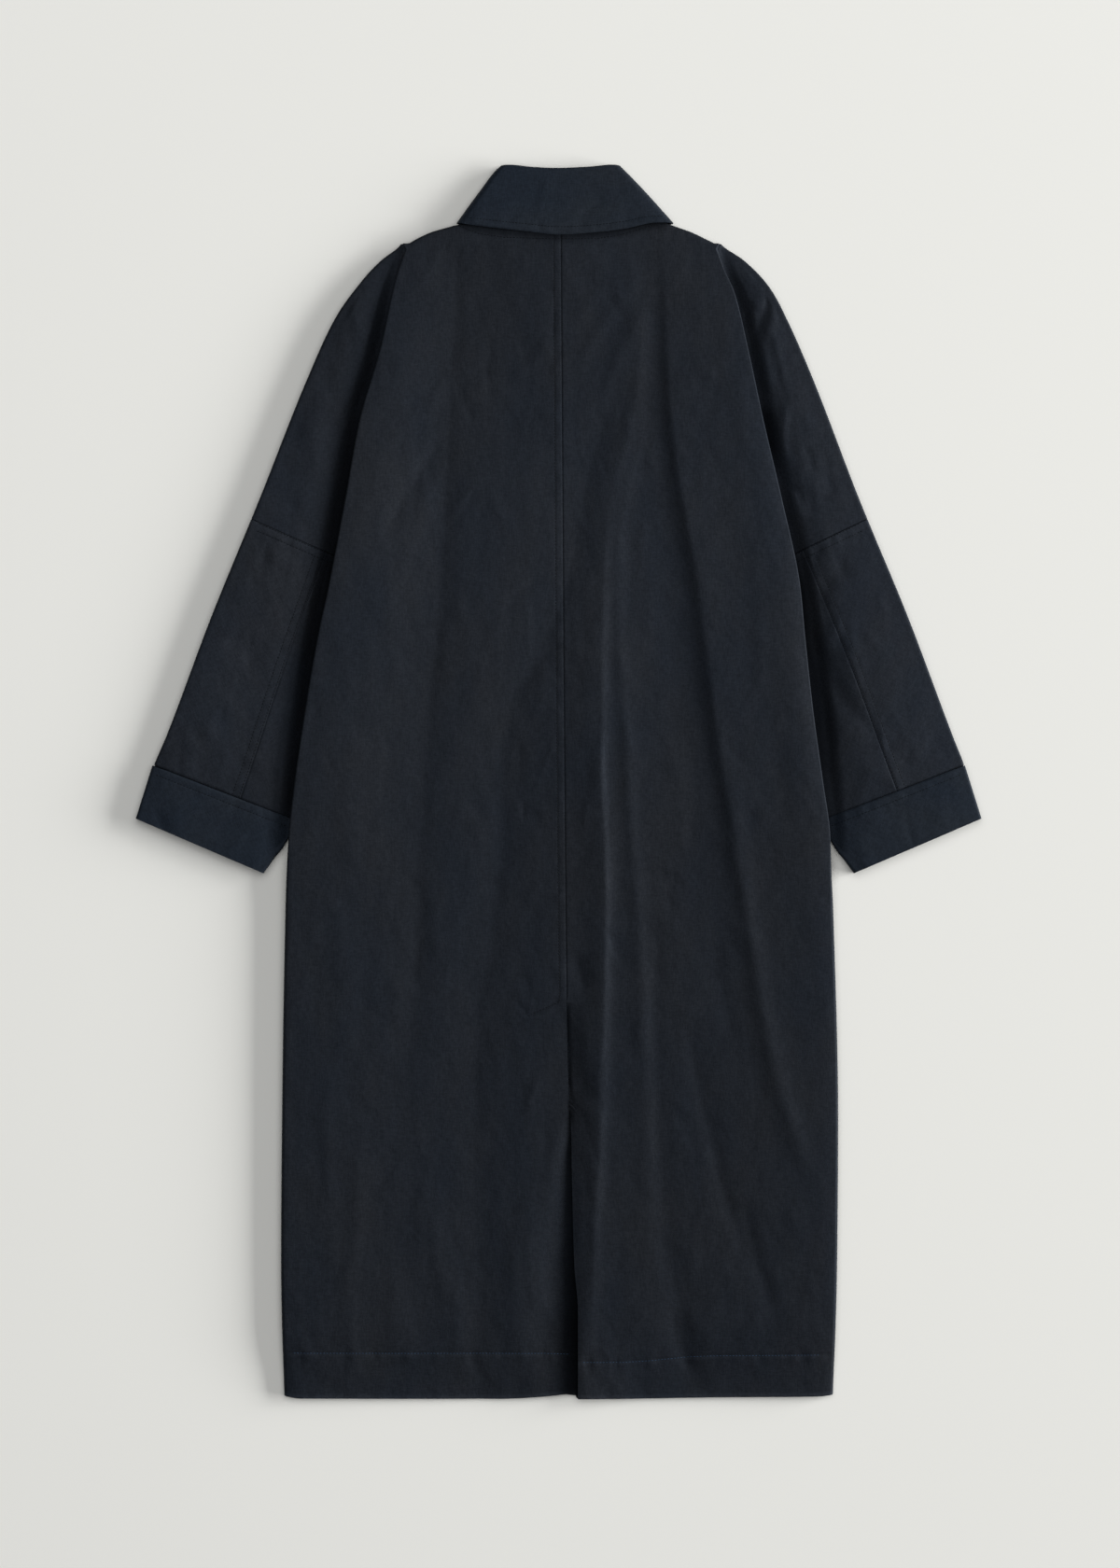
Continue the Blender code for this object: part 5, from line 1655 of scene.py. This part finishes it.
# %% Floor
FLOOR_HALF = 4.0
FLOOR_COLOUR = (0.83, 0.83, 0.80, 1.0)
FLOOR_DULLNESS = 0.9
FLOOR_GLOSS = 0.1
corners = [(x * FLOOR_HALF, y * FLOOR_HALF, 0.0) for x, y in ((-1, -1), (1, -1), (1, 1), (-1, 1))]
floor_mesh = bpy.data.meshes.new("floor")
floor_mesh.from_pydata(corners, [], [(0, 1, 2, 3)])
floor = add("floor", floor_mesh)
pale = Finish("pale_floor")
pale.put(pale.shader, Base_Color=FLOOR_COLOUR, Roughness=FLOOR_DULLNESS, Specular_IOR_Level=FLOOR_GLOSS)
floor_mesh.materials.append(pale.material)
print("floor", 2 * FLOOR_HALF, "m wide")

# %% Light
KEY_ELEVATION = 13.5
KEY_BEARING = 5.0
KEY_FAR = 18.0
KEY_TALL = 6.0
KEY_WIDE = 14.0
KEY_WATTS = 6450.0
KEY_COLOUR = (1.0, 0.995, 0.98)
TOP_PLACE = (0.2, 2.2, 6.0)
TOP_ACROSS = 9.0
TOP_WATTS = 262.0
FILL = 0.097
FILL_COLOUR = (0.985, 0.995, 1.0, 1.0)


def area_light(name, shape, size, watts, place):
    """A flat light that faces straight down."""
    lamp = bpy.data.lights.new(name, "AREA")
    lamp.shape, lamp.size, lamp.energy = shape, size, watts
    made = add(name, lamp)
    made.location = place
    return made


up, bearing = math.radians(KEY_ELEVATION), math.radians(KEY_BEARING)
level = KEY_FAR * math.cos(up)
key_place = (level * math.cos(bearing), level * math.sin(bearing), KEY_FAR * math.sin(up))
key = area_light("key", "RECTANGLE", KEY_TALL, KEY_WATTS, key_place)
key.rotation_euler = (0.0, math.radians(90.0 - KEY_ELEVATION), bearing)
key.data.size_y = KEY_WIDE
key.data.color = KEY_COLOUR
area_light("overhead", "DISK", TOP_ACROSS, TOP_WATTS, TOP_PLACE)
world = bpy.data.worlds.new("studio")
bpy.context.scene.world = world
world.use_nodes = True
world.node_tree.nodes["Background"].inputs["Color"].default_value = FILL_COLOUR
world.node_tree.nodes["Background"].inputs["Strength"].default_value = FILL
bpy.context.scene.view_settings.view_transform = "Standard"
print("light from", KEY_ELEVATION, "degrees up")

# %% Camera
CAMERA_PLACE = (0.0014, -0.0005, 4.5)
FRAME_HEIGHT = 1.596
SENSOR = 36.0
camera_data = bpy.data.cameras.new("camera")
camera_data.sensor_width = SENSOR
camera_data.lens = SENSOR * CAMERA_PLACE[2] / FRAME_HEIGHT
camera = add("camera", camera_data)
camera.location = CAMERA_PLACE
bpy.context.scene.camera = camera
print("lens", round(camera_data.lens, 1))

# %% [markdown]
# ## Bringing the scene up to date
# The last line updates the scene once more.

# %% Last update
bpy.context.view_layer.update()
